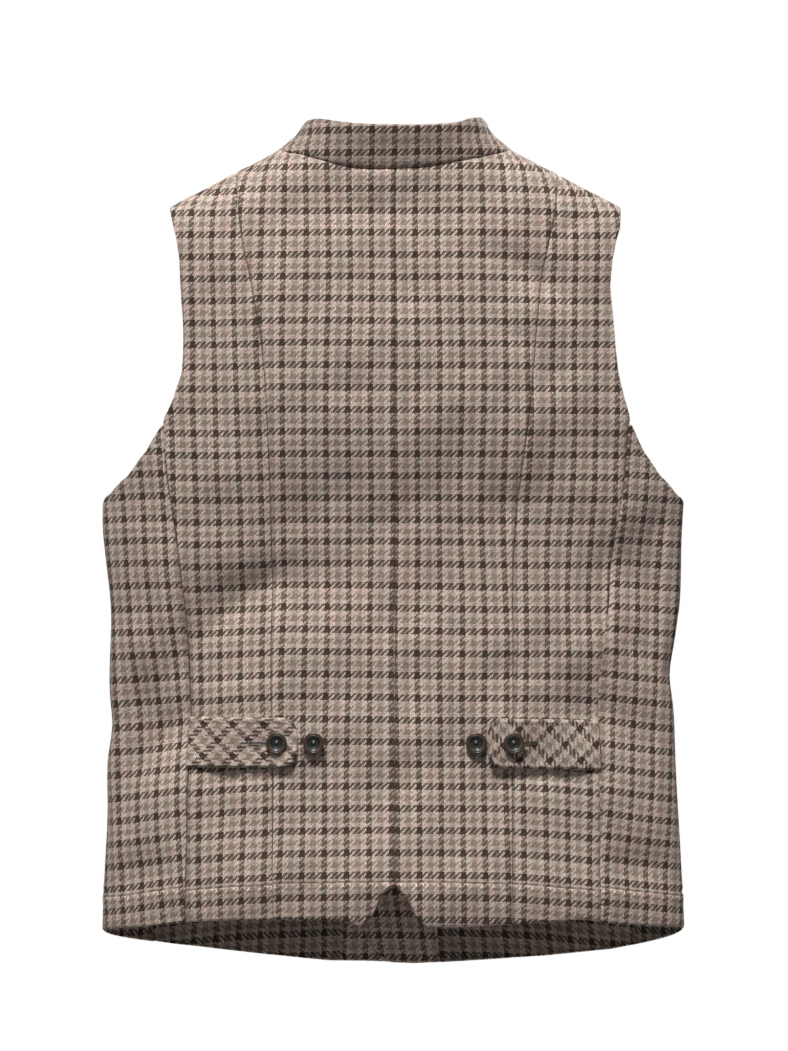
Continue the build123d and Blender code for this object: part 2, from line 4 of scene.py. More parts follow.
import bpy
import numpy as np
from mathutils import Vector
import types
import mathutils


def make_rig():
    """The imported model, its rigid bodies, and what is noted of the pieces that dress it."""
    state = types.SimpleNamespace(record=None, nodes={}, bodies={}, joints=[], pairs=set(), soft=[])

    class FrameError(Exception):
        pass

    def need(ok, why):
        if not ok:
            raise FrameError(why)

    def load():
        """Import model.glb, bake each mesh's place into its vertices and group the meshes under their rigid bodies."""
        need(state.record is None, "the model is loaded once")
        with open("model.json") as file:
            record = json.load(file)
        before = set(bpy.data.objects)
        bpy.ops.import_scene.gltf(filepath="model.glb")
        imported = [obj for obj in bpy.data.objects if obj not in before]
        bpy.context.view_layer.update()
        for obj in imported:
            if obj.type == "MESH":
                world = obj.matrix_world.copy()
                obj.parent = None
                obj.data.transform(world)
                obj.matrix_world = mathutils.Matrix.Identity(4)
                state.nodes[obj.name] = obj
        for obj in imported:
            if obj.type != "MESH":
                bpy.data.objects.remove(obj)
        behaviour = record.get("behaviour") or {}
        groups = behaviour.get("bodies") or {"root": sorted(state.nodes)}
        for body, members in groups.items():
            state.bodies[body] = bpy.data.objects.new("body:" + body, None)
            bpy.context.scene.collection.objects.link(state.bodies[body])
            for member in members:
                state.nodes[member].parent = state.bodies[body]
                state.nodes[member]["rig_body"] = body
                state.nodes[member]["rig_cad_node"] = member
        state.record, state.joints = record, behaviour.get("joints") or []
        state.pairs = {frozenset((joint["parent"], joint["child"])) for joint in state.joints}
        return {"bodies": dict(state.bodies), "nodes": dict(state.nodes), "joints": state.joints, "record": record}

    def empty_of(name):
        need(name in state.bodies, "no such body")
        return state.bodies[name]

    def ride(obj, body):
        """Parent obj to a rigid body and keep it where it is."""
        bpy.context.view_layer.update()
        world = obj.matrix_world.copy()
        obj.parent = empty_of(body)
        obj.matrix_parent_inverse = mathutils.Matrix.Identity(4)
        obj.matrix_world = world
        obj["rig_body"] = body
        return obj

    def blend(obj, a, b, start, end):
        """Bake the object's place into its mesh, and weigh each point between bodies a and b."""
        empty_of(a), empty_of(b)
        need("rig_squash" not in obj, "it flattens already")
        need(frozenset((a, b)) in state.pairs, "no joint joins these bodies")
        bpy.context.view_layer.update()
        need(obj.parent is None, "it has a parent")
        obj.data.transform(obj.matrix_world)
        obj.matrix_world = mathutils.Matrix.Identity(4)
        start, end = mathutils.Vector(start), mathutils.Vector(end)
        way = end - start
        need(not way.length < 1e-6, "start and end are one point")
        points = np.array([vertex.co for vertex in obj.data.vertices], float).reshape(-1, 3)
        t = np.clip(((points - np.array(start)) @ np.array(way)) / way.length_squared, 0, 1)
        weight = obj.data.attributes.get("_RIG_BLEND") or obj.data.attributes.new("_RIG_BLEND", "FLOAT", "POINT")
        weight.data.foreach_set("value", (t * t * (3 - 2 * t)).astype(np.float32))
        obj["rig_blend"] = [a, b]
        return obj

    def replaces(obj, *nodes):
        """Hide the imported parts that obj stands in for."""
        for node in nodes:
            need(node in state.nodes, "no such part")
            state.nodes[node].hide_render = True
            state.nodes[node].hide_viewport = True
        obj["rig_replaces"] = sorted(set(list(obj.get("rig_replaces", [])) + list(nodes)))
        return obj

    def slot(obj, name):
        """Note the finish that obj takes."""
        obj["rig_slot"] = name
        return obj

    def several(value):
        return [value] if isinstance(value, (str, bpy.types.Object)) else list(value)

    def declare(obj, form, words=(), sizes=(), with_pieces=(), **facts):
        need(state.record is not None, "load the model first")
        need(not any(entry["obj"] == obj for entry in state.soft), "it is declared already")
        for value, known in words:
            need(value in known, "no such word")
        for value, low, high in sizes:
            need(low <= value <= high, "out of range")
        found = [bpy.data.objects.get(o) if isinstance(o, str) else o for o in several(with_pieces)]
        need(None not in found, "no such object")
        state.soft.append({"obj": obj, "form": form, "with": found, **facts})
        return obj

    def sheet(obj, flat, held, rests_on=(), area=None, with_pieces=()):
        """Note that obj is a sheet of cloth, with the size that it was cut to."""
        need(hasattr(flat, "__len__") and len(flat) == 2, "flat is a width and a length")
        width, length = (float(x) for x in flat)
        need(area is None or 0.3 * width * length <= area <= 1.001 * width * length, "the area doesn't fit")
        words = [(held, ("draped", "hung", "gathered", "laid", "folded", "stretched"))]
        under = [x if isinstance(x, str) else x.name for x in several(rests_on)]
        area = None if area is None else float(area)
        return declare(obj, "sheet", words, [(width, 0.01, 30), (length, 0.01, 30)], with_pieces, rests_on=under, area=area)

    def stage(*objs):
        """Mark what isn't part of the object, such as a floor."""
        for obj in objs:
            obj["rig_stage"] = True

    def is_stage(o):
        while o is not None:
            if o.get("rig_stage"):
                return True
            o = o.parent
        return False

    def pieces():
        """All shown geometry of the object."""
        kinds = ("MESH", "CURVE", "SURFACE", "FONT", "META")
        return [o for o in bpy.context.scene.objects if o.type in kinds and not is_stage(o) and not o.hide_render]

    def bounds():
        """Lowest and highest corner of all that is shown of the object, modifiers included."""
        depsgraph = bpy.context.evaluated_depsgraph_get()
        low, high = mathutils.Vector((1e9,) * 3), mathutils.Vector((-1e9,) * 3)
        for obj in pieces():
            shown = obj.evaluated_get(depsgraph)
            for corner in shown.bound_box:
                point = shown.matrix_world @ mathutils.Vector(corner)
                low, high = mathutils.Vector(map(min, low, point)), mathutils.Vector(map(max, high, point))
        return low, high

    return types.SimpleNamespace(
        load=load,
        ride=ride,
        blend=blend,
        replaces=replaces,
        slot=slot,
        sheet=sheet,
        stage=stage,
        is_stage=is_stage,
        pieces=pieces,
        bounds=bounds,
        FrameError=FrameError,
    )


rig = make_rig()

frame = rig.load()
cad_lo, cad_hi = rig.bounds()

scene = bpy.context.scene
scene.view_settings.view_transform = "Standard"
rng = np.random.default_rng(7)

# ------------------------------------------------------------------ camera first
DIST = 5.0
MMPX = 0.85
cam_data = bpy.data.cameras.new("main")
cam = bpy.data.objects.new("main", cam_data)
scene.collection.objects.link(cam)
cam_data.sensor_width = 36.0
cam_data.lens = 36.0 * DIST * 1000 / (1051 * MMPX)
cam.location = (0.00085, DIST, -0.3192)
cam.rotation_euler = (math.radians(90), 0, math.radians(180))
cam_data.clip_start, cam_data.clip_end = 0.05, 60
scene.camera = cam
ZC = -319.2  # level of the camera, mm


def back_plane(points, y=50.0):
    """Points (x, z) as seen on the y = 0 plane, moved to where they lie at depth y."""
    k = 1 - y / (DIST * 1000)
    return [(x * k, ZC + (z - ZC) * k) for x, z in points]


# ------------------------------------------------------------------ the hung garment's surface, in mm
def cubic(xs, ys):
    """Natural cubic spline through points, held straight beyond its ends."""
    order = np.argsort(xs)
    x, y = np.asarray(xs, float)[order], np.asarray(ys, float)[order]
    n, h = len(x), np.diff(x)
    a, b = np.zeros((n, n)), np.zeros(n)
    a[0, 0] = a[-1, -1] = 1
    for i in range(1, n - 1):
        a[i, i - 1], a[i, i], a[i, i + 1] = h[i - 1], 2 * (h[i - 1] + h[i]), h[i]
        b[i] = 6 * ((y[i + 1] - y[i]) / h[i] - (y[i] - y[i - 1]) / h[i - 1])
    m = np.linalg.solve(a, b)

    def f(t):
        t = np.clip(t, x[0], x[-1])
        i = np.clip(np.searchsorted(x, t) - 1, 0, n - 2)
        d0, d1, w = t - x[i], x[i + 1] - t, h[i]
        return (m[i] * d1**3 + m[i + 1] * d0**3) / (6 * w) + (y[i] / w - m[i] * w / 6) * d1 + (y[i + 1] / w - m[i + 1] * w / 6) * d0

    return f


def lin(points):
    p = sorted(points)
    xs, ys = np.array([q[0] for q in p], float), np.array([q[1] for q in p], float)
    return lambda t: np.interp(t, xs, ys)


def curve_z(points):
    """x as a smooth function of z for a seam that runs down the garment."""
    return cubic([z for _, z in points], [x for x, _ in points])


def curve_x(points):
    return cubic([x for x, _ in points], [z for _, z in points])


TOP = [(34, 64.4), (20, 76.7), (8, 87.2), (-14, 123.5), (-38, 170.0), (-50, 192.5), (-62, 207.0), (-80, 221.0),
       (-105, 231.0), (-140, 239.0), (-190, 244.5), (-245, 248.0)]
WIDTH_L = cubic(*zip(*(TOP + [(-298, 248.3), (-319, 248.6), (-340, 246.8), (-365, 243.8), (-390, 241.6), (-425, 242.2),
                              (-446, 242.8), (-467, 242.2), (-489, 240.6), (-515, 244.0), (-552, 244.4), (-595, 245.8),
                              (-637, 248.0), (-712, 249.0)])))
WIDTH_R = cubic(*zip(*(TOP + [(-298, 245.6), (-330, 243.8), (-365, 243.0), (-385, 242.0), (-404, 239.7), (-425, 236.3),
                              (-446, 233.6), (-467, 235.8), (-510, 238.2), (-574, 241.4), (-616, 243.8), (-645, 245.2),
                              (-712, 248.5)])))
DEPTH = cubic(*zip(*[(34, 42.5), (20, 45.0), (8, 47.5), (-14, 49.7), (-50, 50.0), (-80, 50.5), (-140, 52.0),
                     (-190, 53.0), (-298, 54.0), (-404, 52.0), (-446, 51.0), (-489, 51.0), (-530, 52.0), (-595, 54.0),
                     (-650, 55.0), (-712, 56.0)]))
POWER = 2.2


def width(z, left):
    return np.where(left, WIDTH_L(z), WIDTH_R(z))


def smooth(t):
    t = np.clip(t, 0, 1)
    return t * t * (3 - 2 * t)


def bell(d, w):
    return np.exp(-(d / w) ** 2)


WAVES = [(rng.uniform(0, 2 * math.pi), rng.uniform(0, 2 * math.pi), rng.uniform(0.75, 1.3)) for _ in range(40)]


def noise(x, z, size, first, count=7):
    """Smooth seeded noise: plane waves of about one size in many directions."""
    total = 0.0
    for a, p, s in WAVES[first:first + count]:
        k = 2 * math.pi / (size * s)
        total = total + np.sin(k * (x * math.cos(a) + z * math.sin(a)) + p)
    return total / math.sqrt(count)


def dent(x, z, cx, cz, angle, length, breadth, depth):
    """One soft crease, of a length along an angle from +X, in mm outward."""
    c, s = math.cos(math.radians(angle)), math.sin(math.radians(angle))
    along, across = (x - cx) * c + (z - cz) * s, -(x - cx) * s + (z - cz) * c
    return depth * np.exp(-(along / length) ** 2 - (across / breadth) ** 2)


SPINE = cubic(*zip(*[(30, 0), (-60, 1.0), (-130, 4.0), (-200, 4.5), (-245, 0.5), (-305, -11.0), (-345, -13.0),
                     (-400, -8.5), (-470, -1.5), (-530, 0.5), (-570, 3.5), (-612, 10.5), (-640, 10.5), (-665, 8.0), (-712, 7)]))


def drape(x, z, y):
    """How far the cloth stands out from the smooth form: hollows, flutes and creases, in mm."""
    back = y > 0
    ax = np.abs(x)
    body = 1.0 * noise(x, z, 66, 0) + 0.55 * noise(x, z * 0.7, 34, 8) + 0.13 * noise(x, z, 13, 16, 9)
    spine = SPINE(z) * (1 - 0.75 * smooth((ax - 60) / 160))
    flutes = 2.6 * smooth((-530 - z) / 110) * np.sin(2 * math.pi * (x + 22) / 146 + 0.4)
    d = body + spine + flutes
    # below the collar, beside the shoulder blades and along the armholes
    creases = dent(x, z, 25, -54, 0, 62, 13, -3.2) + dent(x, z, 38, -206, 0, 32, 14, -2.4)
    creases = creases + dent(x, z, 152, -186, 78, 62, 20, -5.0) + dent(x, z, 148, -120, 62, 40, 14, -2.2)
    creases = creases + dent(x, z, -112, -106, 30, 42, 14, -5.4) + dent(x, z, -96, -158, 12, 34, 14, -2.8)
    creases = creases + dent(x, z, -150, -66, -36, 24, 9, -2.6)
    # waist creases that run down and out from the centre
    creases = creases + dent(x, z, 172, -430, -46, 92, 28, -11.0) + dent(x, z, 112, -372, -14, 58, 24, -7.5) + dent(x, z, 214, -502, -8, 62, 50, -9.0) + dent(x, z, -22, -628, 0, 56, 24, 1.8)
    creases = creases + dent(x, z, 188, -486, -48, 56, 15, -6.5) + dent(x, z, 140, -392, -40, 50, 8, -1.8)
    creases = creases + dent(x, z, -214, -366, 12, 60, 38, -10.0) + dent(x, z, -114, -304, 6, 46, 20, -2.5)
    creases = creases + dent(x, z, -174, -480, 20, 58, 26, -8.5) + dent(x, z, -205, -420, 40, 46, 12, -3.4)
    # low on the sides
    creases = creases + dent(x, z, 204, -612, -6, 56, 17, -4.6) + dent(x, z, -214, -610, 6, 50, 17, -5.0)
    creases = creases + dent(x, z, 150, -560, 84, 60, 14, -2.2) + dent(x, z, -150, -572, 92, 60, 15, -2.2)
    d = d + creases
    # cloth gathered a little by the tabs
    for side in (1, -1):
        d = d + dent(x, z, side * 74, -470, 90 - side * 10, 34, 9, -2.0) + dent(x, z, side * 72, -540, 90 + side * 8, 40, 10, -2.2)
        d = d + dent(x, z, side * 128, -532, side * 3, 50, 7, -2.4) + dent(x, z, side * 128, -458, -side * 4, 46, 9, 1.6)
        d = d + dent(x, z, side * 128, -503, 0, 52, 22, -1.0)
    front = 0.9 * noise(x + 400, z, 70, 3) + 0.45 * noise(x + 90, z, 36, 11) + 0.12 * noise(x, z, 14, 20, 8)
    front = front + 1.6 * smooth((-560 - z) / 120) * np.sin(2 * math.pi * x / 170)
    side = smooth(np.abs(y) / 22)
    calm = smooth((z + 712) / 10) * (1 - 0.85 * smooth((z + 26) / 26))
    ridge = smooth((width(z, x > 0) - ax) / 22) * 0.9 + 0.1
    return np.where(back, d, front) * (0.25 + 0.75 * side) * ridge * calm


def ring(phi, z):
    c, s = np.cos(phi), np.sin(phi)
    w = width(z, c >= 0)
    return w * np.sign(c) * np.abs(c) ** (2 / POWER), DEPTH(z) * s


def normal(phi, z):
    x0, y0 = ring(phi - 0.012, z)
    x1, y1 = ring(phi + 0.012, z)
    xa, ya = ring(phi, z - 1)
    xb, yb = ring(phi, z + 1)
    t = np.stack([x1 - x0, y1 - y0, 0 * x0], -1)
    u = np.stack([xb - xa, yb - ya, 2 + 0 * x0], -1)
    n = np.cross(t, u)
    return n / np.linalg.norm(n, axis=-1, keepdims=True)


def surface(phi, z, off=0.0, under=False):
    """Points on the draped cloth, off mm outward of it."""
    x, y = ring(phi, z)
    n = normal(phi, z)
    d = drape(x, z, y) + off
    p = np.stack([x, y, z + 0 * x], -1) + n * d[..., None]
    if under:
        p[..., 1] += np.where(y < 0, 4.2 * smooth((x + 85) / 50) * (1 - smooth((x - 50) / 50)), 0)
    return p


def angle_of(x, z, front=False):
    w = width(z, np.asarray(x) > 0)
    u = np.clip(np.abs(x) / w, 0, 1) ** (POWER / 2)
    phi = np.arccos(np.sign(x) * u)
    return 2 * math.pi - phi if front else phi


# arc length round the body from the centre back, for the weave's own coordinates
ARC_Z = np.linspace(-720, 36, 64)
ARC_P = np.linspace(-math.pi / 2 - 0.5, 3 * math.pi / 2 + 0.5, 1601)
_x, _y = ring(ARC_P[None, :] + 0 * ARC_Z[:, None], ARC_Z[:, None] + 0 * ARC_P[None, :])
_s = np.concatenate([np.zeros((64, 1)), np.cumsum(np.hypot(np.diff(_x, axis=1), np.diff(_y, axis=1)), axis=1)], axis=1)
_s -= _s[:, [int(np.argmin(np.abs(ARC_P - math.pi / 2)))]]


def arc(phi, z):
    i = np.clip((z - ARC_Z[0]) / (ARC_Z[1] - ARC_Z[0]), 0, 62.999)
    j = np.clip((phi - ARC_P[0]) / (ARC_P[1] - ARC_P[0]), 0, 1599.999)
    i0, j0 = i.astype(int), j.astype(int)
    fi, fj = i - i0, j - j0
    return (_s[i0, j0] * (1 - fi) * (1 - fj) + _s[i0 + 1, j0] * fi * (1 - fj) + _s[i0, j0 + 1] * (1 - fi) * fj + _s[i0 + 1, j0 + 1] * fi * fj)


# ------------------------------------------------------------------ pattern lines (x, z), one list for each half
L = dict(
    neck=back_plane([(0, -15.4), (32, -14.6), (52, -10.9), (84.5, -1.3), (93.4, 0.6)], 48),
    princess=back_plane([(137.5, -8), (136, -24), (132.4, -62), (123.5, -108), (114, -160), (109, -222), (107, -300), (106.4, -400), (105.6, -484), (103.7, -600), (102.8, -700)]),
    side=back_plane([(197.5, -220), (197.2, -240), (193.2, -290), (186.4, -338), (181.8, -382), (179.2, -428), (177.6, -484), (177.4, -600), (177.7, -700)], 36),
    armhole=[(191.3, -50), (189.4, -60), (184.9, -76.5), (182.2, -93.5), (180.5, -119), (179.0, -149), (179.1, -170), (180.0, -191), (186.8, -212.5), (197.0, -234), (210.2, -255), (226, -276), (241.5, -291), (249, -299)],
    hem=back_plane([(0, -654.5), (30, -659.4), (40, -654.5), (88, -653.7), (137, -654.2), (169, -656), (210, -660.8), (252, -666)], 45),
    vent=back_plane([(0, -623.5), (4.5, -626), (9.7, -631), (14.6, -640), (18.5, -650), (29.8, -659.6)]),
)
R = dict(
    neck=back_plane([(0, -15.4), (32.3, -12.8), (58.4, -7.7), (84.4, -2.0), (93.0, 0.6)], 48),
    princess=back_plane([(141, -8), (140, -24), (136.6, -52), (129, -88), (122.6, -128), (118, -182), (113, -234), (106, -298), (102.3, -350), (101.2, -430), (100.8, -484), (99.4, -600), (98.6, -700)]),
    side=back_plane([(199, -220), (198.9, -240), (196.3, -287), (192.4, -322), (188.2, -353), (183, -400), (179, -440), (176.6, -484), (175.2, -600), (174.4, -700)], 36),
    armhole=[(191.8, -50), (190.2, -68), (187, -78), (183.7, -94), (182, -116), (184.3, -149), (186.0, -170), (188.5, -191), (193.6, -212), (199.8, -234), (210.2, -255), (226, -276), (241, -292), (246, -298.5)],
    hem=back_plane([(0, -652), (18, -653), (27, -659.4), (60, -659.8), (110, -657), (158, -653.9), (191, -659.0), (250, -663.5)], 45),
    vent=back_plane([(0, -623.5), (3, -626.5), (7, -632), (11.6, -638.5), (15, -645), (18.2, -652.5)]),
)
ARM_FRONT = [(191.5, -50), (184, -70), (173, -105), (166, -150), (166, -190), (175, -235), (198, -270), (226, -287), (249, -299)]
SIDE_FRONT = [(206, -262), (206, -300), (204, -404), (203, -484), (206, -600), (208, -720)]
NECK_FRONT = [(0, -82), (24, -79.5), (48, -69), (72, -46), (86, -20), (93, 0.2)]
HEM_FRONT = [(0, -693.5), (23, -693.2), (56, -692.9), (113.6, -686.6), (187.5, -677.5), (232, -670.4), (252, -666.5)]
HEM_FRONT_R = [(0, -694.5), (17, -694.8), (78, -691.9), (133, -687.8), (184.6, -681.8), (223, -673.6), (252, -666.3)]


def half(name):
    return L if name == "left" else R


def ridge_z(x, left):
    """Level of the shoulder ridge at x."""
    zs = np.linspace(30, -60, 181)
    ws = width(zs, left)
    return np.interp(x, ws, zs)


# ------------------------------------------------------------------ making sheets
def graded(length, step=3.6, fine=(0, 0.5, 1.2, 2.1, 3.2, 4.8, 7.0)):
    """Places along an edge of a length, closer together near both ends."""
    fine = [f for f in fine if f < length * 0.45]
    n = max(2, int(round((length - 2 * fine[-1]) / step)))
    mid = np.linspace(fine[-1], length - fine[-1], n + 1)[1:-1]
    return np.concatenate([fine, mid, [length - f for f in fine[::-1]]]) / length


def solve_grid(u, v, xl, xr, zb, zt):
    uu, vv = np.meshgrid(u, v)
    z = -300.0 + 0 * uu
    x = xl(z) * (1 - uu) + xr(z) * uu
    for _ in range(40):
        z = 0.5 * z + 0.5 * (zb(x) * (1 - vv) + zt(x) * vv)
        x = xl(z) * (1 - uu) + xr(z) * uu
    return x, z


def turned(d, style):
    """Inward dip at a distance from an edge: a pressed seam, or a turned and rolled edge."""
    if style == "seam":
        return -1.5 * np.clip(1 - d / 2.4, 0, 1) ** 1.7 + 0.45 * bell(d - 6.5, 4.5)
    if style == "edge":
        r = 2.3
        t = np.clip(1 - d / r, 0, 1)
        return -r * (1 - np.sqrt(np.clip(1 - t * t, 0, 1))) * 0.8
    if style == "collar":
        return -0.9 * np.clip(1 - d / 2.6, 0, 1) ** 2
    if style == "soft":
        return -0.6 * np.clip(1 - d / 2.5, 0, 1) ** 2
    return 0 * d


def edge_distance(p):
    """Distance in mm of each grid point from the four edges: first and last column, first and last row."""
    dc = np.linalg.norm(np.diff(p, axis=1), axis=-1)
    dr = np.linalg.norm(np.diff(p, axis=0), axis=-1)
    a = np.concatenate([np.zeros((p.shape[0], 1)), np.cumsum(dc, 1)], 1)
    b = np.concatenate([np.zeros((1, p.shape[1])), np.cumsum(dr, 0)], 0)
    return a, a[:, -1:] - a, b, b[-1:, :] - b


def grid_mesh(name, p, uv, flip=False, keep=None):
    """A quad mesh from grid points in mm and pattern coordinates in mm."""
    rows, cols = p.shape[:2]
    mesh = bpy.data.meshes.new(name)
    index = np.arange(rows * cols).reshape(rows, cols)
    q = np.stack([index[:-1, :-1], index[:-1, 1:], index[1:, 1:], index[1:, :-1]], -1).reshape(-1, 4)
    if flip:
        q = q[:, ::-1]
    if keep is not None:
        ok = keep.reshape(-1)[q].all(axis=1)
        q = q[ok]
    used = np.unique(q)
    back = np.full(rows * cols, -1)
    back[used] = np.arange(len(used))
    mesh.from_pydata((p.reshape(-1, 3)[used] / 1000).tolist(), [], back[q].tolist())
    layer = mesh.uv_layers.new(name="weave")
    flat = uv.reshape(-1, 2)[used] / 100
    loops = np.empty(len(mesh.loops), np.int32)
    mesh.loops.foreach_get("vertex_index", loops)
    layer.data.foreach_set("uv", flat[loops].astype(np.float32).ravel())
    mesh.polygons.foreach_set("use_smooth", np.ones(len(mesh.polygons), bool))
    ob = bpy.data.objects.new(name, mesh)
    scene.collection.objects.link(ob)
    return ob


def apply_modifiers(ob):
    dg = bpy.context.evaluated_depsgraph_get()
    mesh = bpy.data.meshes.new_from_object(ob.evaluated_get(dg), preserve_all_data_layers=True, depsgraph=dg)
    old = ob.data
    ob.modifiers.clear()
    ob.data = mesh
    bpy.data.meshes.remove(old)
    mesh.name = ob.name


def thicken(ob, mm, outward=False):
    m = ob.modifiers.new("thick", "SOLIDIFY")
    m.thickness = mm / 1000
    m.offset = 1 if outward else -1
    m.use_even_offset = False
    apply_modifiers(ob)
    return ob


def flat_area(p, keep=None):
    a, b, c, d = p[:-1, :-1], p[:-1, 1:], p[1:, 1:], p[1:, :-1]
    s = 0.5 * (np.linalg.norm(np.cross(b - a, c - a), axis=-1) + np.linalg.norm(np.cross(c - a, d - a), axis=-1))
    if keep is not None:
        s = s * (keep[:-1, :-1] & keep[:-1, 1:] & keep[1:, 1:] & keep[1:, :-1])
    return float(s.sum()) / 1e6


def declare(ob, p, uv, held="hung", rests=(), keep=None, around=()):
    """Says the sheet's flat size: its pattern's width and length and the area of the cut."""
    q = uv.reshape(-1, 2) if keep is None else uv[keep]
    w, l = np.ptp(q, axis=0) / 1000
    area = flat_area(p, keep)
    if area / (w * l) < 0.4:  # a band: its size is taken along and across itself
        dl, dr, db, dt = edge_distance(p)
        w, l = float(dr[:, 0].mean()) / 1000, float(dt[0].max()) / 1000
    area = min(area, w * l * 0.999)
    area = max(area, w * l * 0.301)
    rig.sheet(ob, flat=(float(w), float(l)), held=held, rests_on=list(rests), area=float(area))


SHEETS = []


def tilt_uv(u, v, cx, cz, degrees, du=0.0, dv=0.0):
    c, s = math.cos(math.radians(degrees)), math.sin(math.radians(degrees))
    return c * (u - cx) - s * (v - cz) + cx + du, s * (u - cx) + c * (v - cz) + cz + dv


def pattern(phi, z, x, tilt=0.0, du=0.0, dv=0.0, centre=(0, -400), inside=False):
    """Pattern coordinates: along the weft to the right as the outside is seen, and up the warp."""
    u = arc(phi, z)
    v = z + 2.2 * (x / 100) ** 2 * smooth((-350 - z) / 250) + 0.8 * noise(x, z, 180, 30, 4)
    u = u + 0.7 * noise(x + 50, z, 150, 24, 4)
    if tilt or du or dv:
        u, v = tilt_uv(u, v, centre[0], centre[1], tilt, du, dv)
    if inside:
        u = -u
    return np.stack([u, v], -1)


def cloth(name, x, z, front, styles, off=0.0, thick=1.7, under=False, tilt=0.0, du=0.0, dv=0.0, inside=False,
          phi=None, keep=None, groove=None, held="hung", rests=(), bulge=None, flare=0.0, flare_from=0.0):
    """One cut piece of cloth on the draped surface. styles: left column, right column, bottom, top edges."""
    if phi is None:
        phi = angle_of(x, z, front)
    if front and x.mean() > 0 and phi.mean() > math.pi:
        phi = phi - 2 * math.pi  # the left front is counted down from the side fold
    base = surface(phi, z, off, under)
    dl, dr, db, dt = edge_distance(base)
    dip = turned(dl, styles[0]) + turned(dr, styles[1]) + turned(db, styles[2]) + turned(dt, styles[3])
    if groove is not None:
        dip = dip + groove(x, z)
    if bulge is not None:
        dip = dip + bulge(dl, dr, db, dt)
    p = base + normal(phi, z) * dip[..., None]
    if flare:
        p[..., 1] += flare * (db - flare_from) * smooth(base[..., 1] / 30)
    centre = (float(arc(phi, z).mean()), float(z.mean()))
    uv = pattern(phi, z, x, tilt, du, dv, centre, inside)
    # face outward: columns must run the way the angle grows
    grows = float((arc(phi, z)[:, -1] - arc(phi, z)[:, 0]).mean()) > 0
    ob = grid_mesh(name, p, uv, flip=(not grows) != inside, keep=keep)
    thicken(ob, thick)
    declare(ob, p, uv, held, rests, keep)
    return ob, p, uv


# ------------------------------------------------------------------ materials
def new_material(name):
    mat = bpy.data.materials.new(name)
    mat.use_nodes = True
    nt = mat.node_tree
    nt.nodes.clear()
    out = nt.nodes.new("ShaderNodeOutputMaterial")
    bsdf = nt.nodes.new("ShaderNodeBsdfPrincipled")
    nt.links.new(bsdf.outputs[0], out.inputs["Surface"])
    return mat, nt, bsdf


class Build:
    """Small helper to write node graphs as expressions."""

    def __init__(self, nt):
        self.nt = nt

    def put(self, socket, value):
        if hasattr(value, "is_output"):
            self.nt.links.new(value, socket)
        else:
            socket.default_value = value

    def math(self, op, *args):
        n = self.nt.nodes.new("ShaderNodeMath")
        n.operation = op
        for i, a in enumerate(args):
            self.put(n.inputs[i], a)
        return n.outputs[0]

    def mix(self, f, a, b, mode="MIX"):
        n = self.nt.nodes.new("ShaderNodeMix")
        n.data_type = "RGBA"
        n.blend_type = mode
        self.put(n.inputs[0], f)
        self.put(n.inputs[6], a)
        self.put(n.inputs[7], b)
        return n.outputs[2]

    def combine(self, x, y, z=0.0):
        n = self.nt.nodes.new("ShaderNodeCombineXYZ")
        for i, a in enumerate((x, y, z)):
            self.put(n.inputs[i], a)
        return n.outputs[0]

    def noise(self, vector, scale, detail=2.0, rough=0.5):
        n = self.nt.nodes.new("ShaderNodeTexNoise")
        self.put(n.inputs["Vector"], vector)
        n.inputs["Scale"].default_value = scale
        n.inputs["Detail"].default_value = detail
        n.inputs["Roughness"].default_value = rough
        return n.outputs["Fac"]

    def white(self, vector):
        n = self.nt.nodes.new("ShaderNodeTexWhiteNoise")
        n.noise_dimensions = "2D"
        self.put(n.inputs["Vector"], vector)
        return n.outputs["Value"]

    def range(self, value, a, b, c, d):
        n = self.nt.nodes.new("ShaderNodeMapRange")
        for i, s in enumerate((value, a, b, c, d)):
            self.put(n.inputs[i], s)
        return n.outputs[0]

    def scale(self, colour, factor):
        n = self.nt.nodes.new("ShaderNodeVectorMath")
        n.operation = "SCALE"
        self.put(n.inputs[0], colour if hasattr(colour, "is_output") else colour[:3])
        self.put(n.inputs["Scale"], factor)
        return n.outputs[0]


YARN = 1.163  # mm from one yarn to the next: sixteen make one repeat of the check
DARK_WARP, DARK_WEFT = (0.082, 0.054, 0.040, 1), (0.052, 0.032, 0.023, 1)
LIGHT, MID = (0.60, 0.485, 0.425, 1), (0.30, 0.230, 0.190, 1)


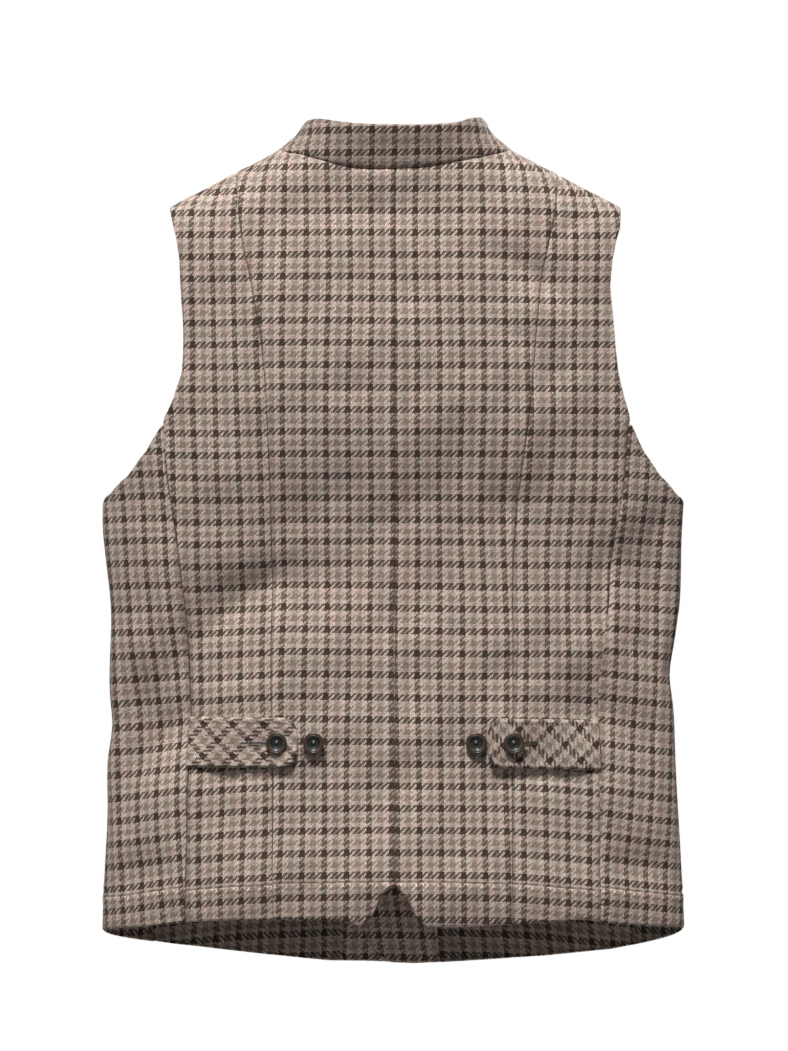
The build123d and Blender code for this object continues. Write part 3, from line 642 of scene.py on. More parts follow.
def tweed(name, turn=0.0, phase=(0.0, 0.0), tone=1.0, mirror=False, hem=None):
    """Gun-club check in a two-and-two twill, worked out yarn by yarn from the pattern coordinates."""
    mat, nt, bsdf = new_material(name)
    b = Build(nt)
    uv = nt.nodes.new("ShaderNodeUVMap")
    uv.uv_map = "weave"
    sep = nt.nodes.new("ShaderNodeSeparateXYZ")
    nt.links.new(uv.outputs[0], sep.inputs[0])
    u0, v0 = b.math("MULTIPLY", sep.outputs[0], -100.0 if mirror else 100.0), b.math("MULTIPLY", sep.outputs[1], 100.0)
    across, along_v = u0, v0
    if turn:
        c, s = math.cos(math.radians(turn)), math.sin(math.radians(turn))
        u1 = b.math("ADD", b.math("MULTIPLY", u0, c), b.math("MULTIPLY", v0, s))
        v1 = b.math("ADD", b.math("MULTIPLY", v0, c), b.math("MULTIPLY", u0, -s))
        u0, v0 = u1, v1
    u0, v0 = b.math("ADD", u0, phase[0]), b.math("ADD", v0, phase[1])
    flat = b.combine(u0, v0)
    # hand of the cloth: yarns wander a little
    wob = b.math("MULTIPLY", b.math("SUBTRACT", b.noise(flat, 0.5, 3.0, 0.65), 0.5), 1.6)
    wob2 = b.math("MULTIPLY", b.math("SUBTRACT", b.noise(b.combine(v0, u0, 9.0), 0.5, 3.0, 0.65), 0.5), 1.6)
    u, v = b.math("ADD", u0, wob), b.math("ADD", v0, wob2)
    us, vs = b.math("DIVIDE", u, YARN), b.math("DIVIDE", v, YARN)
    i, j = b.math("FLOOR", us), b.math("FLOOR", vs)
    fu, fv = b.math("SUBTRACT", us, i), b.math("SUBTRACT", vs, j)

    patch = b.noise(b.combine(u0, v0, 4.4), 0.085, 2.0)

    def colour(k, along, seed, black, wide):
        m = b.math("FLOORED_MODULO", k, 16.0)
        dark = b.math("LESS_THAN", m, wide)
        mid = b.math("MULTIPLY", b.math("GREATER_THAN", m, 7.5), b.math("LESS_THAN", m, 11.5))
        col = b.mix(mid, b.mix(dark, LIGHT, black), MID)
        # heather: each yarn differs, and its spun fibres drift from rose to moss along it
        w = b.white(b.combine(k, seed))
        drift = b.noise(b.combine(b.math("MULTIPLY", k, 3.71), b.math("DIVIDE", along, 2.6), seed), 1.0, 2.0, 0.6)
        hue = b.range(b.math("ADD", b.math("MULTIPLY", drift, 0.45), b.math("MULTIPLY", patch, 0.55)), 0.40, 0.60, 0.0, 1.0)
        tint = b.mix(hue, (1.06, 0.98, 0.985, 1), (0.95, 1.013, 0.965, 1))
        lum = b.math("ADD", b.math("MULTIPLY", w, 0.30), b.math("MULTIPLY", drift, 1.15))
        col = b.mix(1.0, col, tint, "MULTIPLY")
        return b.scale(col, b.math("ADD", lum, 0.29))

    warp, weft = colour(i, v, 1.7, DARK_WARP, 3.5), colour(j, u, 5.3, DARK_WEFT, 4.5)
    on_top = b.math("LESS_THAN", b.math("FLOORED_MODULO", b.math("SUBTRACT", i, j), 4.0), 1.5)
    # the covered yarn shows a little between the fibres of the one on top
    col = b.mix(b.range(on_top, 0.0, 1.0, 0.13, 0.87), weft, warp)

    def round_yarn(f):
        t = b.math("SUBTRACT", b.math("MULTIPLY", f, 2.0), 1.0)
        return b.math("SUBTRACT", 1.0, b.math("MULTIPLY", t, t))

    hu, hv = round_yarn(fu), round_yarn(fv)
    fl = nt.nodes.new("ShaderNodeMix")
    b.put(fl.inputs[0], on_top)
    b.put(fl.inputs[2], hv)
    b.put(fl.inputs[3], hu)
    height = fl.outputs[0]
    # floats dip where they pass under: one crown to each run of two
    run = b.math("DIVIDE", b.math("FLOORED_MODULO", b.math("SUBTRACT", b.math("ADD", i, b.math("SUBTRACT", 1.0, fv)), j), 4.0), 2.0)
    crown = b.math("SINE", b.math("MULTIPLY", b.math("FRACT", run), math.pi))
    height = b.math("ADD", b.math("MULTIPLY", height, 0.7), b.math("MULTIPLY", crown, 0.3))
    fibre = b.noise(flat, 2.3, 3.0, 0.65)
    # Painted shade of the weave's relief: yarns darker towards their sides and in the dips of their floats, and weft
    # floats darker than warp floats.
    shade = b.math("ADD", b.math("MULTIPLY", height, 0.78), b.math("ADD", b.math("MULTIPLY", on_top, 0.20), 0.345))
    shade = b.math("MULTIPLY", shade, b.range(fibre, 0.3, 0.7, 0.76, 1.22))
    cloud = b.noise(flat, 0.028, 2.0)
    # Painted light and shade: each copy of this cloth gets a brightness factor that makes it lighter or darker all
    # over, standing for how that part is lit; 1.0 leaves it as woven.
    shade = b.math("MULTIPLY", shade, b.range(cloud, 0.3, 0.7, 0.93 * tone, 1.07 * tone))
    if hem is not None:
        # the felled hem line: painted shade along the row where small stitches pull the cloth in, and a painted
        # highlight on the ridge under it
        sway = b.math("MULTIPLY", b.math("SUBTRACT", b.noise(b.combine(across, 3.0), 0.02, 2.0), 0.5), 3.0)
        d = b.math("SUBTRACT", b.math("ADD", along_v, sway), hem)
        near = b.math("ABSOLUTE", d)
        sunk_line_painted_shade = b.range(near, 0.5, 1.3, 1.0, 0.0)
        dash = b.range(b.noise(b.combine(across, 7.0), 0.35, 1.0), 0.36, 0.50, 0.45, 1.0)
        # Painted highlight: a broken pale line on the ridge just under the stitches.
        ridge = b.range(b.math("ABSOLUTE", b.math("ADD", d, 2.5)), 0.7, 2.0, 1.0, 0.0)
        edge = b.math("SUBTRACT", 1.0, b.math("MULTIPLY", b.math("MULTIPLY", sunk_line_painted_shade, dash), 0.55))
        edge = b.math("ADD", edge, b.math("MULTIPLY", b.math("MULTIPLY", ridge, dash), 0.58))
        shade = b.math("MULTIPLY", shade, edge)
    col = b.scale(col, shade)
    # stray pale hairs lie over the twill
    hair = b.noise(b.combine(b.math("MULTIPLY", b.math("ADD", u0, v0), 0.5), b.math("MULTIPLY", b.math("SUBTRACT", u0, v0), 1.9)), 0.9, 2.0)
    col = b.mix(b.range(hair, 0.66, 0.76, 0.0, 0.28), col, (0.62, 0.53, 0.46, 1))
    nt.links.new(col, bsdf.inputs["Base Color"])
    bump = nt.nodes.new("ShaderNodeBump")
    bump.inputs["Strength"].default_value = 0.75
    bump.inputs["Distance"].default_value = 0.00035
    b.put(bump.inputs["Height"], b.math("ADD", height, b.math("MULTIPLY", fibre, 0.9)))
    nt.links.new(bump.outputs[0], bsdf.inputs["Normal"])
    b.put(bsdf.inputs["Roughness"], b.range(fibre, 0.3, 0.7, 0.82, 0.96))
    bsdf.inputs["Specular IOR Level"].default_value = 0.18
    bsdf.inputs["Sheen Weight"].default_value = 0.16
    bsdf.inputs["Sheen Roughness"].default_value = 0.45
    bsdf.inputs["Sheen Tint"].default_value = (0.9, 0.82, 0.74, 1)
    return mat


def satin(name, colour):
    mat, nt, bsdf = new_material(name)
    b = Build(nt)
    uv = nt.nodes.new("ShaderNodeUVMap")
    uv.uv_map = "weave"
    sep = nt.nodes.new("ShaderNodeSeparateXYZ")
    nt.links.new(uv.outputs[0], sep.inputs[0])
    u, v = b.math("MULTIPLY", sep.outputs[0], 100.0), b.math("MULTIPLY", sep.outputs[1], 100.0)
    twill = b.math("SINE", b.math("MULTIPLY", b.math("ADD", u, v), 2 * math.pi / 0.62))
    slub = b.noise(b.combine(b.math("MULTIPLY", u, 2.6), b.math("MULTIPLY", v, 0.12)), 1.0, 3.0)
    cloud = b.noise(b.combine(u, v), 0.03, 2.0)
    f = b.math("MULTIPLY", b.range(slub, 0.3, 0.7, 0.82, 1.18), b.range(cloud, 0.3, 0.7, 0.9, 1.1))
    f = b.math("MULTIPLY", f, b.range(twill, -1.0, 1.0, 0.9, 1.06))
    nt.links.new(b.scale(colour, f), bsdf.inputs["Base Color"])
    bump = nt.nodes.new("ShaderNodeBump")
    bump.inputs["Strength"].default_value = 0.3
    bump.inputs["Distance"].default_value = 0.0001
    b.put(bump.inputs["Height"], b.math("ADD", twill, slub))
    nt.links.new(bump.outputs[0], bsdf.inputs["Normal"])
    b.put(bsdf.inputs["Roughness"], b.range(slub, 0.3, 0.7, 0.36, 0.5))
    bsdf.inputs["Specular IOR Level"].default_value = 0.5
    bsdf.inputs["Sheen Weight"].default_value = 0.1
    return mat


def horn(name):
    """Moulded horn-effect button: rings of brown, grey-green and near black, read from the radius."""
    mat, nt, bsdf = new_material(name)
    b = Build(nt)
    uv = nt.nodes.new("ShaderNodeUVMap")
    uv.uv_map = "weave"
    sep = nt.nodes.new("ShaderNodeSeparateXYZ")
    nt.links.new(uv.outputs[0], sep.inputs[0])
    r = b.math("MULTIPLY", sep.outputs[0], 10.0)  # radius over the button's radius
    ramp = nt.nodes.new("ShaderNodeValToRGB")
    e = ramp.color_ramp.elements
    # The pale grey spot at the very centre is a painted highlight on the dome; the other stops are the button's rings
    # of colour.
    stops = [(0.0, (0.085, 0.085, 0.078)), (0.10, (0.03, 0.03, 0.026)), (0.2, (0.010, 0.010, 0.009)), (0.34, (0.024, 0.026, 0.022)),
             (0.45, (0.012, 0.013, 0.011)), (0.60, (0.028, 0.028, 0.024)), (0.68, (0.095, 0.080, 0.062)), (0.76, (0.036, 0.024, 0.017)),
             (0.86, (0.062, 0.032, 0.020)), (0.95, (0.075, 0.037, 0.021))]
    while len(e) < len(stops):
        e.new(0.5)
    for el, (pos, c) in zip(e, stops):
        el.position, el.color = pos, (*c, 1)
    geo = nt.nodes.new("ShaderNodeTexCoord")
    n1 = b.noise(geo.outputs["Object"], 420.0, 4.0)
    n2 = b.noise(geo.outputs["Object"], 95.0, 2.0)
    b.put(ramp.inputs[0], b.math("ADD", r, b.math("MULTIPLY", b.math("SUBTRACT", n1, 0.5), 0.07)))
    nt.links.new(b.scale(ramp.outputs[0], b.range(n2, 0.3, 0.7, 0.75, 1.3)), bsdf.inputs["Base Color"])
    b.put(bsdf.inputs["Roughness"], b.range(n1, 0.3, 0.7, 0.3, 0.46))
    bump = nt.nodes.new("ShaderNodeBump")
    bump.inputs["Strength"].default_value = 0.25
    bump.inputs["Distance"].default_value = 0.0002
    b.put(bump.inputs["Height"], n1)
    nt.links.new(bump.outputs[0], bsdf.inputs["Normal"])
    bsdf.inputs["Specular IOR Level"].default_value = 0.6
    bsdf.inputs["Coat Weight"].default_value = 0.18
    bsdf.inputs["Coat Roughness"].default_value = 0.2
    return mat


def thread(name, colour):
    mat, nt, bsdf = new_material(name)
    b = Build(nt)
    geo = nt.nodes.new("ShaderNodeTexCoord")
    n = b.noise(geo.outputs["Object"], 900.0, 3.0)
    ply = nt.nodes.new("ShaderNodeTexWave")
    ply.inputs["Scale"].default_value = 600.0
    ply.inputs["Distortion"].default_value = 1.5
    nt.links.new(geo.outputs["Object"], ply.inputs["Vector"])
    nt.links.new(b.scale(colour, b.math("MULTIPLY", b.range(n, 0.3, 0.7, 0.7, 1.3), b.range(ply.outputs["Fac"], 0.0, 1.0, 0.8, 1.15))), bsdf.inputs["Base Color"])
    bump = nt.nodes.new("ShaderNodeBump")
    bump.inputs["Strength"].default_value = 0.5
    bump.inputs["Distance"].default_value = 0.0002
    b.put(bump.inputs["Height"], ply.outputs["Fac"])
    nt.links.new(bump.outputs[0], bsdf.inputs["Normal"])
    bsdf.inputs["Roughness"].default_value = 0.6
    bsdf.inputs["Sheen Weight"].default_value = 0.2
    return mat


PHASE = (3.0, 1.6)
TWEED = tweed("tweed_check", phase=PHASE)
# Painted light: the cloth of the inside facings is lightened all over (factor 1.45), standing for light on the inside
# of the garment; its twill is mirrored as seen from inside.
TWEED_FACING_PAINTED_LIGHT = tweed("tweed_check_facing", phase=(1.0, 4.0), tone=1.45, mirror=True)
# Painted shade and highlight along the hem line of the back, set in the cloth's colour.
TWEED_BACK_PAINTED_HEM_LINE = tweed("tweed_check_back", phase=PHASE, hem=-618.4)
# Painted shade: the collar's cloth is darkened all over (factor 0.82), standing for the shade of its outward flare
# under a light from above.
TWEED_COLLAR_PAINTED_SHADE = tweed("tweed_check_collar", phase=PHASE, tone=0.82)
TWEED_TAB_L = tweed("tweed_bias_left", turn=-45, phase=(4, 2), tone=1.0)
# Painted shade: the right tab's cloth is darkened (factor 0.88), standing for the light falling from the left side.
TWEED_TAB_R_PAINTED_SHADE = tweed("tweed_bias_right", turn=45, phase=(1, 7), tone=0.88)
SATIN = satin("lining_satin", (0.075, 0.058, 0.044, 1))
HORN = horn("horn_button")
THREAD = thread("sewing_thread", (0.20, 0.15, 0.105, 1))
THREAD_DARK = thread("button_thread", (0.07, 0.045, 0.03, 1))


def dress(ob, *mats):
    ob.data.materials.clear()
    for m in mats:
        ob.data.materials.append(m)
    return ob


def hem_stitch(x, z, line):
    d = z - line(x)
    return -0.95 * bell(d, 1.3) + 0.75 * bell(d + 4.4, 3.0) + 0.4 * bell(d - 4.0, 2.6)


HEM_LINE = curve_x(back_plane([(246.5, -634), (169, -626), (137, -624.2), (39, -623.2), (6.8, -621.6), (-13.6, -622.2), (-58.7, -621.6), (-174.6, -626), (-234.8, -632), (-250, -634)]))

made = {}


def keepers(name, ob, slot, body="root", nodes=(), mat=TWEED):
    dress(ob, mat)
    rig.slot(ob, slot)
    if body is not None:
        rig.ride(ob, body)
    if nodes:
        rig.replaces(ob, *nodes)
    made[name] = ob
    return ob


# ------------------------------------------------------------------ back panels
for side in ("left", "right"):
    P, sg = half(side), 1 if side == "left" else -1
    princess, sideback = curve_z(P["princess"]), curve_z(P["side"])
    arm_z = lin([(z, x) for x, z in P["armhole"]])
    hem = lin([(x, z) for x, z in P["hem"]])
    vent = lin([(x, z) for x, z in P["vent"]])
    vent_end = P["vent"][-1][0]
    neck = curve_x(P["neck"])
    neck_end = P["neck"][-1][0]

    # centre back: the vent's slanted flank is the first stretch of the bottom edge
    def bottom(x, hem=hem, vent=vent, vent_end=vent_end):
        return np.where(x < vent_end, vent(x), hem(x))

    def top_centre(x, neck=neck, neck_end=neck_end, left=sg > 0):
        return np.where(x < neck_end, neck(np.minimum(x, neck_end)), ridge_z(x, left))

    u = graded(108)
    # extra columns down the vent's flank
    u = np.unique(np.concatenate([u, np.linspace(0, 0.30, 15)]))
    v = graded(640, step=3.8)
    x, z = solve_grid(u, v, lambda t: 0.05 + 0 * t, lambda t, f=princess: f(t) - 0.1, bottom, top_centre)
    ob, p, uv = cloth(f"back_centre_{side}_tweed", sg * x, z, False, ("seam", "seam", "edge", "seam"),
                      groove=lambda a, b: hem_stitch(a, b, HEM_LINE), rests=("collar_back",),
                      du=1.5 if sg > 0 else -1.0, dv=-0.6 if sg > 0 else -0.1, tilt=0.25 * sg)
    keepers(f"back_centre_{side}", ob, "tweed", nodes=(f"back_centre_{side}",), mat=TWEED_BACK_PAINTED_HEM_LINE)

    # side back
    def right_edge(t, a=sideback, b=arm_z):
        k = smooth((t + 238) / 16)
        return b(t) * k + a(np.minimum(t, -222)) * (1 - k)

    u, v = graded(74), graded(600, step=3.8)
    x, z = solve_grid(u, v, lambda t, f=princess: f(t) + 0.1, right_edge, hem, lambda t, left=sg > 0: ridge_z(t, left))
    phi = angle_of(sg * x, z)
    base = surface(phi, z)
    ob, p, uv = cloth(f"back_side_{side}_tweed", sg * x, z, False, ("seam", "soft", "edge", "seam"),
                      groove=lambda a, b, f=sideback: hem_stitch(a, b, HEM_LINE) + np.where(b < -230, turned(np.abs(f(b) - np.abs(a)), "seam"), 0),
                      du=1.1 * sg, dv=0.7, tilt=-0.9 * sg, rests=("collar_back",))
    keepers(f"back_side_{side}", ob, "tweed", nodes=(f"back_side_{side}",), mat=TWEED_BACK_PAINTED_HEM_LINE)

    # side panel, worked in angle round the fold
    arm_pts = [(float(angle_of(np.array(a), np.array(b))), b) for a, b in P["armhole"] if b <= -230 and a < 244]
    arm_pts += [(0.0, -299.5)]
    arm_pts += [(float(angle_of(np.array(a), np.array(b), True)) - 2 * math.pi, b) for a, b in ARM_FRONT if b <= -262 and a < 244]
    arm_phi = lin(arm_pts)
    hem_pts = [(float(angle_of(np.array(a), np.array(b))), b) for a, b in P["hem"] if a > 100 and a < 244]
    hem_pts += [(0.0, P["hem"][-1][1] - 0.3)]
    hem_pts += [(float(angle_of(np.array(a), np.array(b), True)) - 2 * math.pi, b) for a, b in (HEM_FRONT if sg > 0 else HEM_FRONT_R) if a > 100 and a < 244]
    hem_phi = lin(hem_pts)
    sf = lin([(b, a) for a, b in SIDE_FRONT])

    def phi_l(t, f=sideback):
        return angle_of(f(t) + 0.1 - 1.4 * smooth((t + 268) / 28), t)

    def phi_r(t, f=sf):
        return angle_of(f(t), t, True) - 2 * math.pi

    u, v = graded(122), graded(400, step=3.8)
    a, z = solve_grid(u, v, phi_l, phi_r, hem_phi, arm_phi)
    phi = a if sg > 0 else math.pi - a
    x, _ = ring(phi, z)
    ob, p, uv = cloth(f"side_panel_{side}_tweed", x, z, False, ("seam", "seam", "edge", "edge"), phi=phi,
                      groove=lambda a, b: hem_stitch(a, b, HEM_LINE), tilt=-3.2 * sg, dv=1.5, du=2.0 * sg)
    keepers(f"side_panel_{side}", ob, "tweed", nodes=(f"side_panel_{side}",), mat=TWEED_BACK_PAINTED_HEM_LINE)

    # lining of the side
    uu, vv = np.linspace(0.0, 1.0, 30), np.linspace(0.05, 0.985, 70)
    a, z = solve_grid(uu, vv, phi_l, phi_r, hem_phi, arm_phi)
    phi = a if sg > 0 else math.pi - a
    x, _ = ring(phi, z)
    ob, p, uv = cloth(f"lining_side_{side}_cloth", x, z, False, ("", "", "", ""), phi=phi, off=-2.5, thick=0.5)
    keepers(f"lining_side_{side}", ob, "lining", nodes=(f"lining_side_{side}",), mat=SATIN)

# ------------------------------------------------------------------ linings and facings of the back
def neck_all(x):
    return np.where(x >= 0, curve_x(L["neck"])(np.clip(x, 0, 93.4)), curve_x(R["neck"])(np.clip(-x, 0, 93)))


def hem_all(x):
    return np.where(x >= 0, lin([(a, b) for a, b in L["hem"]])(x), lin([(a, b) for a, b in R["hem"]])(-x))


def vent_all(x):
    return np.where(x >= 0, lin(L["vent"])(x), lin(R["vent"])(-x))


def back_bottom(x):
    inside = (x < L["vent"][-1][0]) & (x > -R["vent"][-1][0])
    return np.where(inside, vent_all(x), hem_all(x))


def back_top(x):
    left = x > 0
    edge = np.where(left, 93.4, 93.0)
    return np.where(np.abs(x) < edge, neck_all(x), np.where(left, ridge_z(np.abs(x), True), ridge_z(np.abs(x), False)))


def side_left(z):
    f, g = curve_z(L["side"]), lin([(b, a) for a, b in L["armhole"]])
    return np.where(z > -228, g(z), f(np.minimum(z, -228)))


def side_right(z):
    f, g = curve_z(R["side"]), lin([(b, a) for a, b in R["armhole"]])
    return -np.where(z > -228, g(z), f(np.minimum(z, -228)))


u, v = np.linspace(0.015, 0.985, 80), np.linspace(0, 1, 110)
x, z = solve_grid(u, v, side_left, side_right, lambda t: back_bottom(t) + 34, lambda t: back_top(t) - 38)
ob, p, uv = cloth("lining_back_cloth", x, z, False, ("", "", "", ""), off=-3.3, thick=0.5)
keepers("lining_back", ob, "lining", nodes=("lining_back",), mat=SATIN)
u, v = np.linspace(0.03, 0.97, 70), np.linspace(0, 1, 14)
x, z = solve_grid(u, v, lambda t: side_left(t), side_right, lambda t: back_top(t) - 42, lambda t: back_top(t) + np.where(np.abs(t) < 90, 3.0, -1.2))
ob, p, uv = cloth("neck_facing_back_cloth", x, z, False, ("", "", "", ""), off=-1.9, thick=1.1)
keepers("neck_facing_back", ob, "tweed", nodes=("neck_facing_back",), mat=TWEED_FACING_PAINTED_LIGHT)
for side, lo, hi in (("left", 0.3, None), ("right", -0.3, None)):
    f = side_left if side == "left" else side_right
    u, v = graded(175, step=5), np.linspace(0, 1, 12)
    x, z = solve_grid(u, v, lambda t, a=lo: a + 0 * t, lambda t, f=f: f(t) * 0.995, lambda t: back_bottom(t) + 1.4, lambda t: back_bottom(t) + 37)
    ob, p, uv = cloth(f"hem_facing_back_{side}_cloth", x, z, False, ("", "", "soft", ""), off=-1.9, thick=1.1)
    keepers(f"hem_facing_back_{side}", ob, "tweed", nodes=(f"hem_facing_back_{side}",), mat=TWEED_FACING_PAINTED_LIGHT)

# ------------------------------------------------------------------ fronts: shell, lining and facing of each
ARM_SIDE_FRONT = lin([(b, a) for a, b in ARM_FRONT if b >= -262] + [(-270, 198), (-276, 206), (-300, 206), (-404, 204), (-484, 203), (-600, 206), (-720, 208)])
FOLD = lambda z: 95 + (6 - z) * 55 / 706


def fold_blend(ob, side, out=17, into=17, z=-300):
    s = 1 if side == "left" else -1
    n = Vector((-0.997, 0, -0.0777))
    c = Vector((FOLD(z), -50, z))
    a, b = c - n * out, c + n * into
    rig.blend(ob, "root", f"front_{side}", (s * a.x / 1000, a.y / 1000, a.z / 1000), (s * b.x / 1000, b.y / 1000, b.z / 1000))


def neck_front(x, left):
    f = curve_x([(max(a, 0), b) for a, b in NECK_FRONT])
    return np.where(x < 93, f(np.clip(x, 0, 93)), ridge_z(x, left))


def front_hem(edge):
    pts = [(edge, -652), (edge + 1.2, -661), (edge + 3.6, -669), (edge + 7, -677), (edge + 11.5, -684), (edge + 17.5, -690), (edge + 25, -694)]
    return lin(pts + [q for q in (HEM_FRONT if edge > -25 else HEM_FRONT_R) if q[0] > edge + 30])


for side in ("left", "right"):
    sg, left, under = (1, True, False) if side == "left" else (-1, False, True)
    edge = -22.0 if left else -29.5
    bot = front_hem(edge)
    top = lambda t, left=left: neck_front(t, left)
    u, v = graded(235, step=3.9), graded(620, step=4.0)
    x, z = solve_grid(u, v, ARM_SIDE_FRONT, lambda t, e=edge: e + 0 * t, bot, top)
    pr = cubic([7, -60, -160, -300, -484, -690], [139, 137, 124, 112, 108, 110])

    def dart(a, b):
        # pressed seam that runs over the chest
        d = np.abs(np.abs(a) - pr(b)) * (1 + 0 * b)
        return turned(d, "seam") * 0.8

    ob, p, uv = cloth(f"front_{side}_tweed", sg * x, z, True, ("seam", "edge", "edge", "seam"), under=under, groove=dart, tilt=0.4 * sg)
    dress(ob, TWEED)
    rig.slot(ob, "tweed")
    fold_blend(ob, side)
    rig.replaces(ob, f"front_side_{side}", f"front_leaf_{side}")

    u, v = np.linspace(0.01, 1, 46), np.linspace(0, 1, 100)
    x, z = solve_grid(u, v, ARM_SIDE_FRONT, lambda t, e=edge: e + 62 + 0 * t, lambda t: bot(t) + 48, lambda t: top(t) - 4)
    ob, p, uv = cloth(f"lining_front_{side}_cloth", sg * x, z, True, ("", "", "", ""), off=-3.3, thick=0.5, under=under)
    dress(ob, SATIN)
    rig.slot(ob, "lining")
    fold_blend(ob, side)
    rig.replaces(ob, f"lining_front_side_{side}", f"lining_front_{side}")

    u, v = graded(66, step=5), graded(600, step=6)
    x, z = solve_grid(u, v, lambda t, e=edge: e + 66 + 0 * t, lambda t, e=edge: e + 0.8 + 0 * t, lambda t: bot(t) + 1.2, lambda t: top(t) - 1.2)
    ob, p, uv = cloth(f"facing_front_{side}_cloth", sg * x, z, True, ("", "soft", "soft", ""), off=-1.9, thick=1.1, under=under, inside=False)
    keepers(f"facing_front_{side}", ob, "tweed", body=f"front_{side}", nodes=(f"facing_front_{side}",), mat=TWEED_FACING_PAINTED_LIGHT)

# ------------------------------------------------------------------ collar
COLLAR_TOP_L = [(0, 18.2), (18, 18.4), (35, 19.6), (52, 22.0), (66, 24.6), (73.0, 24.4)]
COLLAR_TOP_R = [(0, 18.2), (20, 18.0), (40, 19.2), (56, 21.8), (70, 26.2), (72.0, 26.0)]
FRONT_COLLAR_TOP = [(0, -46), (22, -44), (42, -33), (60, -8), (70, 14), (73, 25)]


def phi_points(points, front=False, left=True):
    out = []
    for a, b in points:
        w = float(width(np.array(float(b)), np.array(left)))
        c = min(1.0, abs(a) / w) ** (POWER / 2)
        ph = math.acos(c)
        if front:
            ph = -ph
        out.append((ph if left else math.pi - ph, b))
    return out


def along(points, hi):
    xs = np.linspace(0.5, hi, 60)
    return list(zip(xs, curve_x(points)(xs)))


nb = phi_points([(x, z - 0.4) for x, z in along(L["neck"], 92.2)]) + [(0.0, 1.9)]
nb += phi_points([(x, z - 0.4) for x, z in along(R["neck"], 92.0)], left=False) + [(math.pi, 1.9)]
tb = phi_points(along(COLLAR_TOP_L, 70.5)) + [(0.0, 25.0)] + phi_points(along(COLLAR_TOP_R, 69.5), left=False) + [(math.pi, 26.6)]


def smooth_lin(points):
    f = lin(points)
    return lambda t: (f(t - 0.06) + f(t) * 2 + f(t + 0.06)) / 4 if True else f(t)


neck_phi, top_phi = smooth_lin(nb), smooth_lin(tb)
SWELL = lambda dl, dr, db, dt: 1.1 * bell(dt - 6, 7) + 0.5 * bell(db - 9, 8)
u, v = graded(225, step=3.2), graded(34, step=2.4)
a, z = solve_grid(u, v, lambda t: 0.0 + 0 * t, lambda t: math.pi + 0 * t, neck_phi, top_phi)
x, _ = ring(a, z)
ob, p, uv = cloth("collar_back_tweed", x, z, False, ("soft", "soft", "collar", "edge"), phi=a, off=0.7, thick=1.9, dv=6.5, bulge=SWELL, flare=0.38)
keepers("collar_back", ob, "tweed", nodes=("collar_back",), mat=TWEED_COLLAR_PAINTED_SHADE)
a, z = solve_grid(u, v, lambda t: 0.0 + 0 * t, lambda t: math.pi + 0 * t, lambda t: neck_phi(t) - 3.5, lambda t: top_phi(t) - 0.7)
x, _ = ring(a, z)
ob, p, uv = cloth("collar_facing_back_tweed", x, z, False, ("soft", "soft", "", "soft"), phi=a, off=-1.3, thick=1.2, flare=0.38, flare_from=3.1)
keepers("collar_facing_back", ob, "tweed", nodes=("collar_facing_back",), mat=TWEED_FACING_PAINTED_LIGHT)

for side in ("left", "right"):
    left = side == "left"
    tip = -14.0
    xs = np.linspace(2, 92.8, 60)
    nf = phi_points(list(zip(xs, curve_x(NECK_FRONT)(xs) + 0.9)), True, True)
    xs = np.linspace(2, 71.5, 60)
    tf = phi_points(list(zip(xs, curve_x(FRONT_COLLAR_TOP)(xs))), True, True)
    # past the centre front both edges run on level, with a rounded top corner
    end = -math.pi / 2 - 0.215
    nf += [(0.0, 1.9), (-math.pi / 2, -81.5), (end, -81.5)]
    tf += [(0.0, 25.0 if left else 26.6), (-math.pi / 2, -46), (-math.pi / 2 - 0.10, -46.6), (-math.pi / 2 - 0.17, -49.5), (end, -56)]
    f_bot, f_top = smooth_lin(nf), smooth_lin(tf)
    for kind, off, thick, inset, mat in (("collar_front", 0.7, 1.9, 0.0, TWEED), ("collar_facing_front", -1.3, 1.2, 0.8, TWEED_FACING_PAINTED_LIGHT)):
        a, z = solve_grid(graded(165, step=3.2), graded(34, step=2.4), lambda t: 0.0 + 0 * t, lambda t, i=inset: end + i / 60 + 0 * t,
                          lambda t: f_bot(t) + inset, lambda t: f_top(t) - inset)
        phi = a if left else math.pi - a
        x, _ = ring(phi, z)
        ob, p, uv = cloth(f"{kind}_{side}_tweed", x, z, True, ("soft", "edge", "seam", "edge"), phi=phi, off=off, thick=thick,
                          under=not left, dv=3.0, bulge=SWELL if inset == 0 else None)
        dress(ob, mat)
        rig.slot(ob, "tweed")
        s = 1 if left else -1
        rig.blend(ob, "root", f"front_{side}", (s * 0.098, -0.03, 0.0), (s * 0.068, -0.03, 0.0))
        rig.replaces(ob, f"{kind}_{side}")


# ------------------------------------------------------------------ small rounded things
def tube(points, radius, sides=6, closed=False, taper=True):
    """Vertices and faces of a round cord along points."""
    p = np.asarray(points, float)
    n = len(p)
    t = np.gradient(p, axis=0)
    t /= np.linalg.norm(t, axis=1, keepdims=True) + 1e-9
    ref = np.array([0.31, 0.2, 0.93])
    a = np.cross(t, ref)
    a /= np.linalg.norm(a, axis=1, keepdims=True) + 1e-9
    b = np.cross(t, a)
    ang = np.linspace(0, 2 * math.pi, sides, endpoint=False)
    r = np.full(n, radius, float)
    if taper:
        r[0] = r[-1] = radius * 0.35
    vs = p[:, None, :] + r[:, None, None] * (np.cos(ang)[None, :, None] * a[:, None, :] + np.sin(ang)[None, :, None] * b[:, None, :])
    faces = []
    for i in range(n - 1):
        for k in range(sides):
            faces.append((i * sides + k, i * sides + (k + 1) % sides, (i + 1) * sides + (k + 1) % sides, (i + 1) * sides + k))
    faces.append(tuple(range(sides))[::-1])
    faces.append(tuple((n - 1) * sides + k for k in range(sides)))
    return vs.reshape(-1, 3), faces


